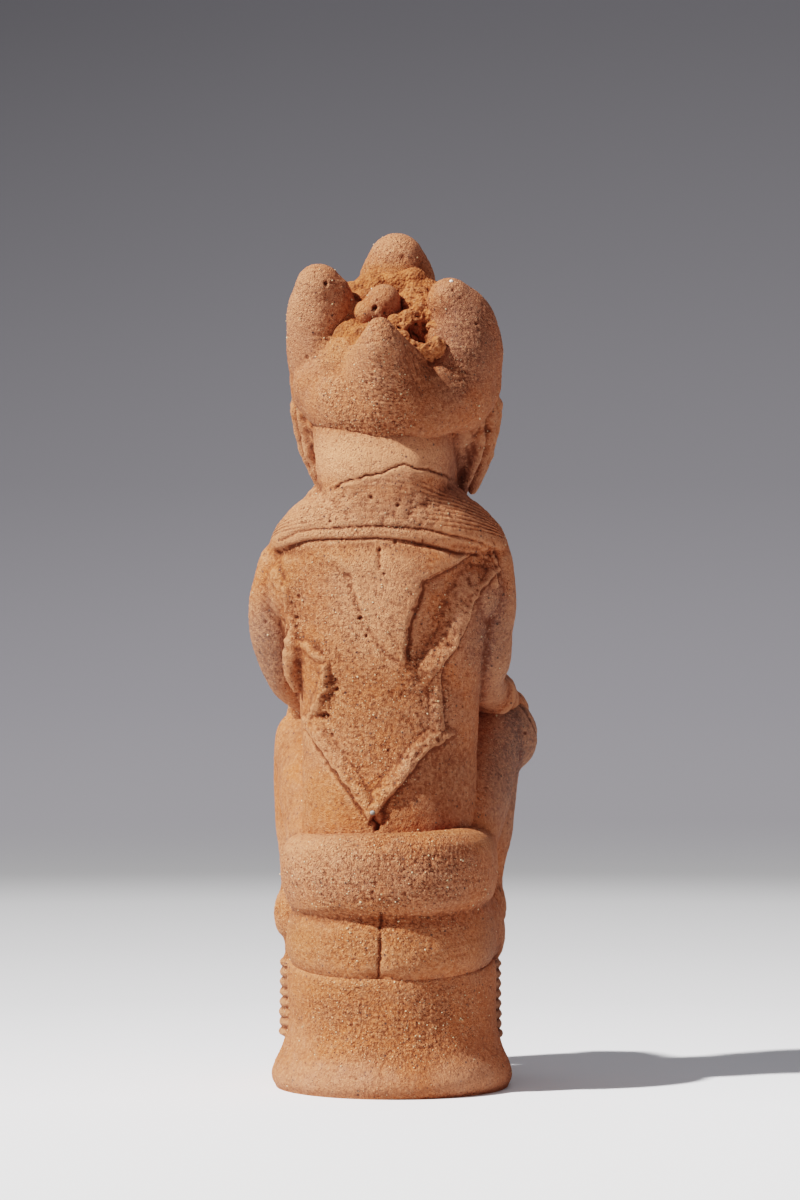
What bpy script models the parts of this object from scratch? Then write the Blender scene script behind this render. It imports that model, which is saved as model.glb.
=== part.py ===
# A seated terracotta figure in the Nok manner, modelled with the drum seat as one fired piece.
# Metres, +Z up. The figure faces -Y, its left hand is at +X, and it stands on the drum's underside at Z = 0.

import math

import bmesh
import bpy
import numpy as np
from mathutils import Matrix, Vector

# Drum seat
SEAT_HEIGHT = 0.0510
SEAT_RADIUS = 0.0455
SEAT_FLARE = 0.0078
SEAT_FOOT_HEIGHT = 0.0255
SEAT_EDGE_ROUND = 0.0027

# Figure, from the seat's top to the tip of the front lobe of the coiffure
FIGURE_HEIGHT = 0.3245

# Anklets, stacked from the floor up, and the thick garter over them
ANKLET_FIRST = 0.0190
ANKLET_PITCH = 0.0045
ANKLET_THICKNESS = 0.0021
ANKLET_COUNT = 8
GARTER_THICKNESS = 0.0092

# Collar of thin strands
COLLAR_STRAND = 0.0040
COLLAR_FINE_PITCH = 0.0030

# Depth of the carving on the back and of the incised lines
RIDGE_HEIGHT = 0.0019
GROOVE_DEPTH = 0.0018

# Fineness of the worked surface and of the finished solid
CLAY_GRAIN = 0.0014
SOLID_TRIANGLES = 9300

# Every body measure below is in thousandths of a metre on a figure 324.5 mm tall, seat top to tip.
SHARE = FIGURE_HEIGHT / 324.5
DESIGN_SEAT = 51.0

# The broken carving on the back is laid out as seen a little from the figure's right.
VIEW_TURN = math.radians(7.0)

FLOOR_SUNK = 0.0040


def at(x, y, z):
    return Vector((x * SHARE, y * SHARE, SEAT_HEIGHT + (z - DESIGN_SEAT) * SHARE))


def beside_seat(angle, clear, z):
    reach = SEAT_RADIUS + clear
    return Vector((reach * math.sin(angle), -reach * math.cos(angle), z))


def empty_the_scene():
    for thing in list(bpy.data.objects):
        bpy.data.objects.remove(thing, do_unlink=True)


def add_shape(clay, make, frame, **sizes):
    """Makes one primitive by itself and lays it into the clay."""
    single = bmesh.new()
    make(single, matrix=frame, **sizes)
    mesh = bpy.data.meshes.new("shape")
    single.to_mesh(mesh)
    single.free()
    clay.from_mesh(mesh)
    bpy.data.meshes.remove(mesh)


def ball(clay, centre, radii, tilt=0.0, lean=0.0, turn=0.0, across=24):
    frame = Matrix.Translation(centre)
    frame @= Matrix.Rotation(turn, 4, "Z") @ Matrix.Rotation(lean, 4, "Y") @ Matrix.Rotation(tilt, 4, "X")
    frame @= Matrix.Diagonal((radii[0], radii[1], radii[2], 1.0))
    add_shape(clay, bmesh.ops.create_uvsphere, frame, u_segments=across, v_segments=across // 2, radius=1.0)


def knuckle(clay, start, end, start_radius, end_radius):
    along = end - start
    if along.length < 1e-6:
        return
    frame = Matrix.Translation((start + end) / 2) @ along.to_track_quat("Z", "Y").to_matrix().to_4x4()
    add_shape(clay, bmesh.ops.create_cone, frame, cap_ends=True, cap_tris=False, segments=20,
              radius1=start_radius, radius2=end_radius, depth=along.length)


def limb(clay, stations, steps=5):
    """A round tapering limb through (point, radius) stations."""
    points = [Vector(point) for point, radius in stations]
    radii = [radius for point, radius in stations]
    path = []
    for index in range(len(points) - 1):
        before = points[max(index - 1, 0)]
        start, end = points[index], points[index + 1]
        after = points[min(index + 2, len(points) - 1)]
        for step in range(steps):
            t = step / steps
            bend = 0.5 * ((2 * start) + (end - before) * t + (2 * before - 5 * start + 4 * end - after) * t * t
                          + (3 * start - before - 3 * end + after) * t * t * t)
            ease = t * t * (3 - 2 * t)
            path.append((bend, radii[index] * (1 - ease) + radii[index + 1] * ease))
    path.append((points[-1], radii[-1]))
    for (start, start_radius), (end, end_radius) in zip(path, path[1:]):
        knuckle(clay, start, end, start_radius, end_radius)
    for point, radius in path:
        ball(clay, point, (radius, radius, radius), across=16)


def loft(clay, sections, around=48, lean=0.0):
    """A closed body through rounded sections: (centre, half width, half depth, squareness, tilt)."""
    rings = []
    pivot = Vector(sections[len(sections) // 2][0])
    leaning = Matrix.Rotation(lean, 3, "Y")
    for centre, half_width, half_depth, squareness, tilt in sections:
        turn = Matrix.Rotation(tilt, 3, "X")
        ring = []
        for step in range(around):
            angle = 2 * math.pi * step / around
            cosine, sine = math.cos(angle), math.sin(angle)
            x = half_width * math.copysign(abs(cosine) ** (2 / squareness), cosine)
            y = half_depth * math.copysign(abs(sine) ** (2 / squareness), sine)
            place = Vector(centre) + turn @ Vector((x, y, 0.0))
            ring.append(clay.verts.new(pivot + leaning @ (place - pivot)))
        rings.append(ring)
    for lower, upper in zip(rings, rings[1:]):
        for step in range(around):
            after = (step + 1) % around
            clay.faces.new((lower[step], lower[after], upper[after], upper[step]))
    clay.faces.new(list(reversed(rings[0])))
    clay.faces.new(rings[-1])


def add_mesh_of(clay, thing):
    """Takes an object's evaluated shape into the clay and removes the object."""
    evaluated = thing.evaluated_get(bpy.context.evaluated_depsgraph_get())
    mesh = bpy.data.meshes.new_from_object(evaluated)
    mesh.transform(thing.matrix_world)
    clay.from_mesh(mesh)
    bpy.data.objects.remove(thing, do_unlink=True)
    bpy.data.meshes.remove(mesh)


def ring_roll(clay, centre, half_width, half_depth, thickness, height, tilt=0.0, lean=0.0):
    """A padded ring: outer half width and depth, and the thickness and height of its roll."""
    core = (half_width + half_depth) / 2 - thickness
    bpy.ops.mesh.primitive_torus_add(major_segments=56, minor_segments=18, major_radius=core,
                                     minor_radius=thickness)
    ring = bpy.context.active_object
    ring.scale = (half_width / (core + thickness), half_depth / (core + thickness), height / (2 * thickness))
    ring.rotation_euler = (tilt, lean, 0.0)
    ring.location = centre
    bpy.context.view_layer.update()
    add_mesh_of(clay, ring)


def drum_seat(clay):
    outer = SEAT_RADIUS + SEAT_FLARE
    foot = SEAT_FOOT_HEIGHT
    rim = outer - SEAT_EDGE_ROUND
    profile = [
        (0.0, SEAT_HEIGHT),
        (SEAT_RADIUS - 0.003, SEAT_HEIGHT),
        (SEAT_RADIUS - 0.0008, SEAT_HEIGHT - 0.0012),
        (SEAT_RADIUS - 0.0003, SEAT_HEIGHT - 0.004),
        (SEAT_RADIUS, foot + 0.25 * (SEAT_HEIGHT - foot)),
        (SEAT_RADIUS + 0.08 * SEAT_FLARE, foot),
        (SEAT_RADIUS + 0.42 * SEAT_FLARE, foot * 0.66),
        (SEAT_RADIUS + 0.78 * SEAT_FLARE, foot * 0.43),
        (outer, foot * 0.25),
        (outer - 0.12 * SEAT_EDGE_ROUND, foot * 0.12),
        (rim, 0.0),
        (rim, -FLOOR_SUNK),
        (0.0, -FLOOR_SUNK),
    ]
    outline = bpy.data.meshes.new("drum_outline")
    edges = [(index, index + 1) for index in range(len(profile) - 1)]
    outline.from_pydata([(radius, 0.0, height) for radius, height in profile], edges, [])
    drum = bpy.data.objects.new("drum_outline", outline)
    bpy.context.scene.collection.objects.link(drum)
    turned = drum.modifiers.new("Turned", "SCREW")
    turned.steps = 72
    turned.render_steps = 72
    turned.use_merge_vertices = True
    turned.merge_threshold = 0.00001
    bpy.context.view_layer.update()
    add_mesh_of(clay, drum)


def torso(clay):
    hips = [(48, 1, 43, 43.5, 2.3), (52.5, 1, 45, 46, 2.4), (60, 1, 45.8, 46.5, 2.5), (72, 1, 45, 45.5, 2.4),
            (84, 1, 42, 41, 2.3), (98, 2, 38, 33, 2.3)]
    loft(clay, [(at(0, cy, z), w * SHARE, d * SHARE, p, 0.0) for z, cy, w, d, p in hips])
    trunk = [(80, 1, 3, 39, 31, 2.5), (112, 1, 2, 38.5, 30, 2.7), (146, 1, 1, 38, 29.5, 2.8),
             (172, 1, 1, 39.5, 30.8, 2.7), (196, 1, 2, 44.5, 33.5, 2.6), (218, 2, 2, 49, 35.5, 2.5),
             (232, 2, 2, 49, 35.8, 2.4), (244, 1, 1, 42, 33.5, 2.2), (256, 1, 0, 34, 29, 2.0)]
    loft(clay, [(at(cx, cy, z), w * SHARE, d * SHARE, p, 0.0) for z, cx, cy, w, d, p in trunk])
    ball(clay, at(0, -18, 128), (33 * SHARE, 17 * SHARE, 38 * SHARE))
    for side, out in ((1, 41), (-1, 36)):
        ball(clay, at(side * 17, -25, 209), (19 * SHARE, 7.5 * SHARE, 14 * SHARE))
        ball(clay, at(side * out, 3, 219), (16 * SHARE, 20 * SHARE, 20 * SHARE))
        ball(clay, at(side * 35, -20, 66), (13 * SHARE, 24 * SHARE, 20 * SHARE))
    roll = [(76.5, 36), (78.5, 41), (82, 44.6), (88, 46.7), (95, 47.5), (102, 47.3), (107.5, 46), (111, 43), (113, 38)]
    loft(clay, [(at(0, 7.5, z), w * SHARE, (w - 1.2) * SHARE, 2.35, 0.0) for z, w in roll],
         lean=math.radians(2.5))


def collar(clay):
    slope = math.radians(8.0)
    sections = [(230, 50, 37), (233, 52.3, 39.3), (238, 52.6, 39.8), (245, 49.5, 38.6), (252, 44, 36),
                (258, 38, 33), (263, 31, 29)]
    loft(clay, [(at(1, 1, z), w * SHARE, d * SHARE, 2.15, slope) for z, w, d in sections])
    ring_roll(clay, at(1, 1, 235.2), 53.4 * SHARE, 40.8 * SHARE, COLLAR_STRAND / 2, COLLAR_STRAND, tilt=slope)


def arms(clay):
    left = [((47, 4, 228), 12), ((51, 1, 213), 12.4), ((51.2, -1, 200), 12.2), ((49, -4, 188), 11.3),
            ((45.5, -8, 178), 10), ((38.5, -13, 171), 9), ((39, -28, 168), 8.8), ((43, -41, 165.5), 9)]
    right = [((-42, 4, 229), 12), ((-43.5, 1, 213), 12), ((-42, -1, 199), 11.2), ((-41.5, -4, 188), 11),
             ((-39.5, -10, 179.5), 9.5), ((-42, -24, 176), 9), ((-46, -36, 172), 9)]
    for stations in (left, right):
        limb(clay, [(at(*point), radius * SHARE) for point, radius in stations])
    for x, y, z in ((44, -46, 161), (-47, -45, 167)):
        ball(clay, at(x, y, z), (10 * SHARE, 9 * SHARE, 10 * SHARE))
        for finger in range(4):
            spread = (finger - 1.5) * 4.6
            root = at(x + spread, y - 5, z + 2)
            tip = at(x + spread * 1.05, y - 11.5, z - 12)
            limb(clay, [(root, 2.9 * SHARE), (tip, 2.4 * SHARE)], steps=2)
    for x, y, z, girth in ((40.5, -32, 167.5, 10.6), (-43.5, -29, 174.5, 10.8)):
        ring_roll(clay, at(x, y, z), girth * SHARE, girth * SHARE, 2.0 * SHARE, 5 * SHARE, tilt=math.radians(82))
    limb(clay, [(at(40.5, 12, 203), 3.0 * SHARE), (at(44, 13, 199), 3.6 * SHARE),
                (at(44, 11, 193), 3.9 * SHARE), (at(43.5, 7, 184), 2.0 * SHARE)], steps=3)


def legs(clay):
    left_ankle = beside_seat(math.radians(48.0), 0.0112, 0.0)
    right_ankle = beside_seat(math.radians(-39.5), 0.0035, 0.0)
    shins = (
        (left_ankle, [((22, 4, 94), 22), ((32, -16, 120), 19.5), ((41, -34, 144), 16), ((44, -42, 150), 14.5),
                      ((44.6, -43.5, 134), 14.6), ((44.4, -43.5, 114), 14), ((43.5, -42, 95), 12.8)], 15.6, 72.5),
        (right_ankle, [((-21, 4, 94), 22), ((-30, -16, 122), 19.5), ((-38, -32, 147), 16), ((-42, -40, 156), 14),
                       ((-39, -42, 138), 13.6), ((-37, -42.5, 112), 12.6), ((-34, -41.5, 92), 11.6)], 13.6, 76),
    )
    for ankle, upper, garter, band in shins:
        stations = [(at(*point), radius * SHARE) for point, radius in upper]
        waist = stations[-1][0]
        top = ANKLET_FIRST + ANKLET_PITCH * (ANKLET_COUNT + 1)
        over = Vector((ankle.x * 0.6 + waist.x * 0.4, ankle.y * 0.6 + waist.y * 0.4, top))
        stations.append((over, 11 * SHARE))
        stations.append((Vector((ankle.x, ankle.y, ANKLET_FIRST)), 10.5 * SHARE))
        stations.append((Vector((ankle.x, ankle.y, 0.008)), 10 * SHARE))
        limb(clay, stations)
        centre = Vector((over.x * 0.5 + waist.x * 0.5, over.y * 0.5 + waist.y * 0.5, at(0, 0, band).z))
        ring_roll(clay, centre, garter * SHARE, garter * SHARE, GARTER_THICKNESS / 2, GARTER_THICKNESS * 2.3)
        for ring in range(ANKLET_COUNT):
            place = Vector((ankle.x, ankle.y, ANKLET_FIRST + ANKLET_PITCH * ring))
            girth = (12.8 if ring else 13.6) * SHARE
            ring_roll(clay, place, girth, girth, ANKLET_THICKNESS, ANKLET_THICKNESS * 2)
        toes = Vector((ankle.x * 0.95, ankle.y - 0.026, 0.0045))
        limb(clay, [(Vector((ankle.x, ankle.y, 0.009)), 11.5 * SHARE), (toes, 9 * SHARE)], steps=3)
        for toe in range(5):
            spread = (toe - 2) * 0.0038
            root = toes + Vector((spread, -0.001, 0.001))
            limb(clay, [(root, 0.0034), (root + Vector((spread * 0.15, -0.0095, -0.001)), 0.0031)], steps=2)
    ball(clay, at(-47.8, -40, 156.5), (11 * SHARE, 13 * SHARE, 18.5 * SHARE))


HEAD_TILT = math.radians(-14.0)
HEAD_CENTRE = (-0.4, -9.0, 300.0)


def on_head(x, front, up):
    """A point in the head's own frame: to its left, forward and up."""
    place = Matrix.Rotation(HEAD_TILT, 3, "X") @ Vector((x, -front, up))
    return at(HEAD_CENTRE[0] + place.x, HEAD_CENTRE[1] + place.y, HEAD_CENTRE[2] + place.z)


def head(clay):
    neck = [(238, 1, 3, 31, 29.5), (256, 1, 2, 29.5, 29), (270, 1, 1, 28.5, 28.5), (292, 1, 1, 30, 28)]
    loft(clay, [(at(cx, cy, z), w * SHARE, d * SHARE, 2.1, 0.0) for z, cx, cy, w, d in neck])
    skull = [(-46, 8, 20, 15, 2.0), (-38, 7, 29, 23, 2.1), (-26, 4, 36.5, 31, 2.2), (-12, 1, 41.5, 36, 2.2),
             (4, -1, 43.5, 38, 2.2), (20, -3, 43, 38.5, 2.2), (36, -5, 39, 35, 2.1), (46, -6, 30, 26, 2.0)]
    loft(clay, [(on_head(0, front, up), w * SHARE, d * SHARE, p, HEAD_TILT) for up, front, w, d, p in skull])
    # brow, nose, eyes, lips and a short beard, all plain and even
    for side in (-1, 1):
        ball(clay, on_head(side * 15.5, 35, 13), (11.5 * SHARE, 4.5 * SHARE, 3.2 * SHARE), lean=side * 0.12)
        ball(clay, on_head(side * 16, 34.5, 4), (9.5 * SHARE, 5 * SHARE, 5.2 * SHARE), lean=side * 0.1)
        ball(clay, on_head(side * 4.6, 39, -10.5), (4 * SHARE, 4.4 * SHARE, 3.6 * SHARE))
        ball(clay, on_head(side * 42.5, 2, 2), (4 * SHARE, 7 * SHARE, 12 * SHARE))
        ball(clay, on_head(side * 19, 27.5, -11), (14 * SHARE, 9 * SHARE, 15 * SHARE))
    limb(clay, [(on_head(0, 36, 12), 3.0 * SHARE), (on_head(0, 40, -3), 3.8 * SHARE),
                (on_head(0, 42.5, -10), 4.6 * SHARE)], steps=3)
    ball(clay, on_head(0, 38.5, -19.5), (10.5 * SHARE, 4.6 * SHARE, 2.9 * SHARE))
    ball(clay, on_head(0, 37.5, -24.5), (9 * SHARE, 4.6 * SHARE, 2.9 * SHARE))
    ball(clay, on_head(0, 27, -38), (14 * SHARE, 11 * SHARE, 12 * SHARE))
    for side in (-1, 1):
        for strand in range(5):
            sweep = math.radians(50 + strand * 17)
            x = side * math.sin(sweep)
            front = math.cos(sweep)
            limb(clay, [(on_head(x * 43.5, front * 36 + 1, 0), 3.2 * SHARE),
                        (on_head(x * 40.5, front * 34 + 3, -18), 3.4 * SHARE),
                        (on_head(x * 31, front * 30 + 5, -38), 2.8 * SHARE)], steps=3)


CROWN_TILT = math.radians(-30.0)
CROWN_CENTRE = (-2.2, 0.0, 303.0)


def on_crown(x, back, up):
    """A point in the coiffure's own frame, which leans back with the head."""
    place = Matrix.Rotation(CROWN_TILT, 3, "X") @ Vector((x, back, up))
    return at(CROWN_CENTRE[0] + place.x, CROWN_CENTRE[1] + place.y, CROWN_CENTRE[2] + place.z)


def coiffure(clay):
    bulb = [(-3, 38.5, 38), (0, 43.5, 42.5), (6, 45.5, 44.5), (12, 45.8, 44.5), (18, 43.5, 42), (24, 39, 38),
            (30, 32, 32), (35, 22, 22), (38, 12, 12)]
    loft(clay, [(on_crown(0, 0, up), w * SHARE, d * SHARE, 2.05, CROWN_TILT) for up, w, d in bulb])
    lobes = (
        [((26, 0, 6), 21), ((29, 0, 20), 18.5), ((31.3, 0, 37), 15), ((30.9, 0, 53), 10.6)],
        [((-27, 0, 6), 21), ((-30.2, 0, 20), 18.5), ((-31.2, 0, 33), 15.2), ((-26, 0, 46), 10.4)],
        [((1.5, -24, 8), 22), ((1.5, -28.5, 22), 21), ((1, -32, 37), 18), ((0.6, -33.7, 48.4), 13.5)],
    )
    for stations in lobes:
        limb(clay, [(on_crown(*point), radius * SHARE) for point, radius in stations])
    # the back lobe is a broad pyramid that grows out of the bulb
    pyramid = [(4, 8, 38, 36.5), (12, 15, 31, 30), (20, 21, 24.5, 23.5), (30, 27.5, 17.5, 16), (40, 33, 11.5, 9.6),
               (48, 36.8, 6.4, 5.4), (54, 39, 3.2, 2.8)]
    loft(clay, [(on_crown(0, back, up), w * SHARE, d * SHARE, 2.0, CROWN_TILT) for up, back, w, d in pyramid])
    ball(clay, on_crown(0, 39, 54), (3.2 * SHARE, 3.0 * SHARE, 3.0 * SHARE))
    limb(clay, [(on_crown(4.5, 0, 30), 13 * SHARE), (on_crown(4.5, -1, 47), 9 * SHARE)], steps=3)
    # earth packed between the lobes
    for x, back, up, size in ((-16, -8, 38, 12), (-14, 6, 34, 11), (17, -8, 38, 12), (13, 7, 34, 10), (0, -16, 41, 12)):
        ball(clay, on_crown(x, back, up), (size * SHARE, size * SHARE, size * 0.8 * SHARE))


def worked_surface(clay):
    """One skin round everything that was laid together, with the joins wiped soft."""
    bmesh.ops.recalc_face_normals(clay, faces=clay.faces)
    lump_mesh = bpy.data.meshes.new("clay_lump")
    clay.to_mesh(lump_mesh)
    clay.free()
    lump = bpy.data.objects.new("clay_lump", lump_mesh)
    bpy.context.scene.collection.objects.link(lump)
    skin = lump.modifiers.new("Skin", "REMESH")
    skin.mode = "VOXEL"
    skin.voxel_size = CLAY_GRAIN
    wiped = lump.modifiers.new("Wiped", "SMOOTH")
    wiped.factor = 0.5
    wiped.iterations = 5
    bpy.context.view_layer.update()
    mesh = bpy.data.meshes.new_from_object(lump.evaluated_get(bpy.context.evaluated_depsgraph_get()))
    bpy.data.objects.remove(lump, do_unlink=True)
    return mesh


def away_from_line(places, line):
    """Distance of each (u, v) place from an open line of points."""
    nearest = np.full(len(places), 1e9)
    for start, end in zip(line, line[1:]):
        start = np.array(start, float)
        along = np.array(end, float) - start
        share = np.clip(((places - start) @ along) / max(along @ along, 1e-12), 0.0, 1.0)
        gap = np.linalg.norm(places - start - share[:, None] * along, axis=1)
        nearest = np.minimum(nearest, gap)
    return nearest


def inside_outline(places, outline):
    """True for each (u, v) place inside a closed outline."""
    u, v = places[:, 0], places[:, 1]
    inside = np.zeros(len(places), bool)
    for (u0, v0), (u1, v1) in zip(outline, outline[1:] + outline[:1]):
        crosses = (v0 > v) != (v1 > v)
        at_u = (u1 - u0) * (v - v0) / ((v1 - v0) if v1 != v0 else 1e-9) + u0
        inside ^= crosses & (u < at_u)
    return inside


# Lines of the back, in figure millimetres: across to the viewer's right, and up from the floor
LONG_RIDGE = [(43.5, 222), (35.5, 214), (33.5, 206), (30.5, 197), (27, 189), (20.5, 179), (21.3, 162), (26, 151)]
RIGHT_EDGE = [(26, 151), (16, 143), (7.5, 135), (1, 127), (-7, 118)]
LEFT_EDGE = [(-37, 155), (-32, 149), (-26.5, 142), (-20.5, 134), (-15.5, 125), (-9, 118)]
LEFT_RIDGE = [(-30, 187), (-32, 165), (-35, 158)]
FLAP = [(-49, 236), (-32, 229), (-21, 224), (-17.5, 214), (-15, 206), (-7.5, 197), (1, 187), (5.5, 186),
        (6, 194), (7.5, 204), (12.5, 214), (12, 221), (19, 225), (26, 229), (37, 234)]
BACK_GROOVES = [[(-5, 236), (-5.3, 227)], [(-7.5, 117), (-6.5, 113)], [(-5.2, 74), (-5, 48)]]
NECK_CRACK = [(-25.5, 262), (-15.5, 267.5), (-4.5, 270), (6, 273.5), (16, 270.5), (25.5, 266)]


def carve(mesh):
    """Moves the skin in and out along its normals for the ridges, grooves, strands and eyes."""
    count = len(mesh.vertices)
    points = np.empty(count * 3)
    mesh.vertices.foreach_get("co", points)
    points = points.reshape(-1, 3)
    normals = np.empty(count * 3)
    mesh.vertices.foreach_get("normal", normals)
    normals = normals.reshape(-1, 3)
    body = points / SHARE
    body[:, 2] = (points[:, 2] - SEAT_HEIGHT) / SHARE + DESIGN_SEAT
    body_x, body_y, body_z = body.T
    across = -body_x * math.cos(VIEW_TURN) - body_y * math.sin(VIEW_TURN)
    seen = np.column_stack([across, body_z])
    facing = np.clip(normals[:, 1] * 2.0, 0.0, 1.0) * (body_y > 0)
    lift = np.zeros(count)
    for line, high, wide in ((LONG_RIDGE, 1.15, 2.6), (RIGHT_EDGE, 0.9, 2.2), (LEFT_EDGE, 0.75, 2.2),
                             (LEFT_RIDGE, 0.9, 2.4)):
        ridge = RIDGE_HEIGHT * high * facing * np.exp(-(away_from_line(seen, line) / wide) ** 2)
        lift = np.maximum(lift, ridge)
    flap = inside_outline(seen, FLAP)
    soft = 1.0 - np.exp(-(away_from_line(seen, FLAP) / 2.5) ** 2)
    lift += RIDGE_HEIGHT * 0.75 * facing * flap * soft
    for line in BACK_GROOVES:
        lift -= GROOVE_DEPTH * facing * np.exp(-(away_from_line(seen, line) / 1.6) ** 2)
    lift -= GROOVE_DEPTH * 0.4 * facing * np.exp(-(away_from_line(seen, NECK_CRACK) / 1.2) ** 2)
    # fine strands round the collar, above its bottom cord
    slope = math.tan(math.radians(5.0))
    level = body_z - body_y * slope
    sloping = np.clip((level - 239.0) / 2.0, 0.0, 1.0) * np.clip((259.0 - level) / 2.0, 0.0, 1.0)
    strands = np.cos(2 * math.pi * (level - 239.0) * SHARE / COLLAR_FINE_PITCH)
    lift -= 0.25 * GROOVE_DEPTH * sloping * (0.5 + 0.5 * strands)
    # the eyes' pupils and the line of the mouth
    for side in (-1, 1):
        pupil = np.array(on_head(side * 16, 39.5, 4))
        lift -= GROOVE_DEPTH * 0.9 * np.exp(-(np.linalg.norm(points - pupil, axis=1) / (2.6 * SHARE)) ** 2)
    points += normals * lift[:, None]
    mesh.vertices.foreach_set("co", points.ravel())
    mesh.update()


def finish(mesh):
    """Thins the skin to its solid's faces and cuts it flat on the floor."""
    figure = bpy.data.objects.new("nok_figure", mesh)
    bpy.context.scene.collection.objects.link(figure)
    triangles = sum(len(face.vertices) - 2 for face in mesh.polygons)
    thin = figure.modifiers.new("Thin", "DECIMATE")
    thin.ratio = min(1.0, SOLID_TRIANGLES / triangles)
    bpy.context.view_layer.update()
    solid = bpy.data.meshes.new_from_object(figure.evaluated_get(bpy.context.evaluated_depsgraph_get()))
    bpy.data.objects.remove(figure, do_unlink=True)
    body = bmesh.new()
    body.from_mesh(solid)
    everything = list(body.verts) + list(body.edges) + list(body.faces)
    cut = bmesh.ops.bisect_plane(body, geom=everything, plane_co=(0, 0, 0), plane_no=(0, 0, -1),
                                 clear_outer=True, dist=1e-6)
    rim = [piece for piece in cut["geom_cut"] if isinstance(piece, bmesh.types.BMEdge)]
    bmesh.ops.holes_fill(body, edges=rim, sides=0)
    bmesh.ops.triangulate(body, faces=body.faces)
    bmesh.ops.recalc_face_normals(body, faces=body.faces)
    body.to_mesh(solid)
    body.free()
    solid.name = "nok_figure"
    return solid


def terracotta():
    material = bpy.data.materials.new("terracotta")
    material.use_nodes = True
    surface = material.node_tree.nodes["Principled BSDF"]
    surface.inputs["Base Color"].default_value = (0.50, 0.22, 0.105, 1.0)
    surface.inputs["Roughness"].default_value = 0.85
    surface.inputs["Metallic"].default_value = 0.0
    return material


def main():
    empty_the_scene()
    clay = bmesh.new()
    drum_seat(clay)
    torso(clay)
    collar(clay)
    arms(clay)
    legs(clay)
    head(clay)
    coiffure(clay)
    mesh = worked_surface(clay)
    carve(mesh)
    solid = finish(mesh)
    solid.materials.append(terracotta())
    solid.shade_smooth()
    solid.set_sharp_from_angle(angle=math.radians(50))
    figure = bpy.data.objects.new("nok_figure", solid)
    pieces = bpy.data.collections.new("nok_terracotta_figure")
    bpy.context.scene.collection.children.link(pieces)
    pieces.objects.link(figure)


main()
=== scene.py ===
# A seated Nok terracotta on its drum, seen from behind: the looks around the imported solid.
# Lengths in the dictionaries are millimetres; paths across the back are pixels of the 800 x 1200 photo.
import math

import bmesh
import bpy
import numpy as np
from mathutils import Matrix, Vector


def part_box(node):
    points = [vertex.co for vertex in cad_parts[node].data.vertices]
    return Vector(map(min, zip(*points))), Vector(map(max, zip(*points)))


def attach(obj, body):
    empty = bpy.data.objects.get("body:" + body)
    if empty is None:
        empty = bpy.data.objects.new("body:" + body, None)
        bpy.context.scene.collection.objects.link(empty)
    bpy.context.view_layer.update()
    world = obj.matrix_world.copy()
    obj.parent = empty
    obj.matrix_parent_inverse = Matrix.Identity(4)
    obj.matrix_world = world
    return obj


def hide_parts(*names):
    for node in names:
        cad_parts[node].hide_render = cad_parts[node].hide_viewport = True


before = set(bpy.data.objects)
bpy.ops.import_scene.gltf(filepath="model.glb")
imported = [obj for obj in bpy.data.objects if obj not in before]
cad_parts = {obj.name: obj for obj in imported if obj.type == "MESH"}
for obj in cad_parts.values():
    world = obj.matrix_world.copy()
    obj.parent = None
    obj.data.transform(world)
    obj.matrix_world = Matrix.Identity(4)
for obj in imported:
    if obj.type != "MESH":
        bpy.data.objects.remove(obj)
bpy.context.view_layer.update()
figure = "nok_figure"
designHeight = 375.0  # the figure's height in the millimetres of the dictionaries
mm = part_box(figure)[1].z / designHeight

# the photo's camera: its scale and the drum's middle in pixels, then where it stands in millimetres
view = {"mmPerPixel": 0.44, "centreX": 392.0, "floorY": 1085.0, "eyeHeight": 213.4, "distance": 1716.0,
        "turn": math.radians(7.0), "side": 3.5, "focalPixels": 3900.0, "photoHeight": 1200.0, "film": 36.0,
        "nearest": 0.05}


def at(x, y, z):
    return Vector((x, y, z)) * mm


def say(stage):
    print("scene:", stage)


def putInScene(name, data):
    thing = bpy.data.objects.new(name, data)
    bpy.context.scene.collection.objects.link(thing)
    return thing


# Laying clay together

def meshOf(clay, name):
    mesh = bpy.data.meshes.new(name)
    clay.to_mesh(mesh)
    clay.free()
    return mesh


def finished(thing):
    # the object's mesh as its modifiers leave it
    bpy.context.view_layer.update()
    return bpy.data.meshes.new_from_object(thing.evaluated_get(bpy.context.evaluated_depsgraph_get()))


def addShape(clay, make, placed, **sizes):
    single = bmesh.new()
    make(single, matrix=placed, **sizes)
    mesh = meshOf(single, "shape")
    clay.from_mesh(mesh)
    bpy.data.meshes.remove(mesh)


def ball(clay, centre, radii, tilt=0.0, lean=0.0, turn=0.0, across=28):
    placed = Matrix.Translation(centre)
    placed @= Matrix.Rotation(turn, 4, "Z") @ Matrix.Rotation(lean, 4, "Y") @ Matrix.Rotation(tilt, 4, "X")
    placed @= Matrix.Diagonal((radii[0] * mm, radii[1] * mm, radii[2] * mm, 1.0))
    addShape(clay, bmesh.ops.create_uvsphere, placed, u_segments=across, v_segments=across // 2, radius=1.0)


def knuckle(clay, start, end, startRadius, endRadius):
    along = end - start
    if along.length < 1e-6:
        return
    placed = Matrix.Translation((start + end) / 2) @ along.to_track_quat("Z", "Y").to_matrix().to_4x4()
    addShape(clay, bmesh.ops.create_cone, placed, cap_ends=True, cap_tris=False, segments=24,
             radius1=startRadius * mm, radius2=endRadius * mm, depth=along.length)


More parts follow.
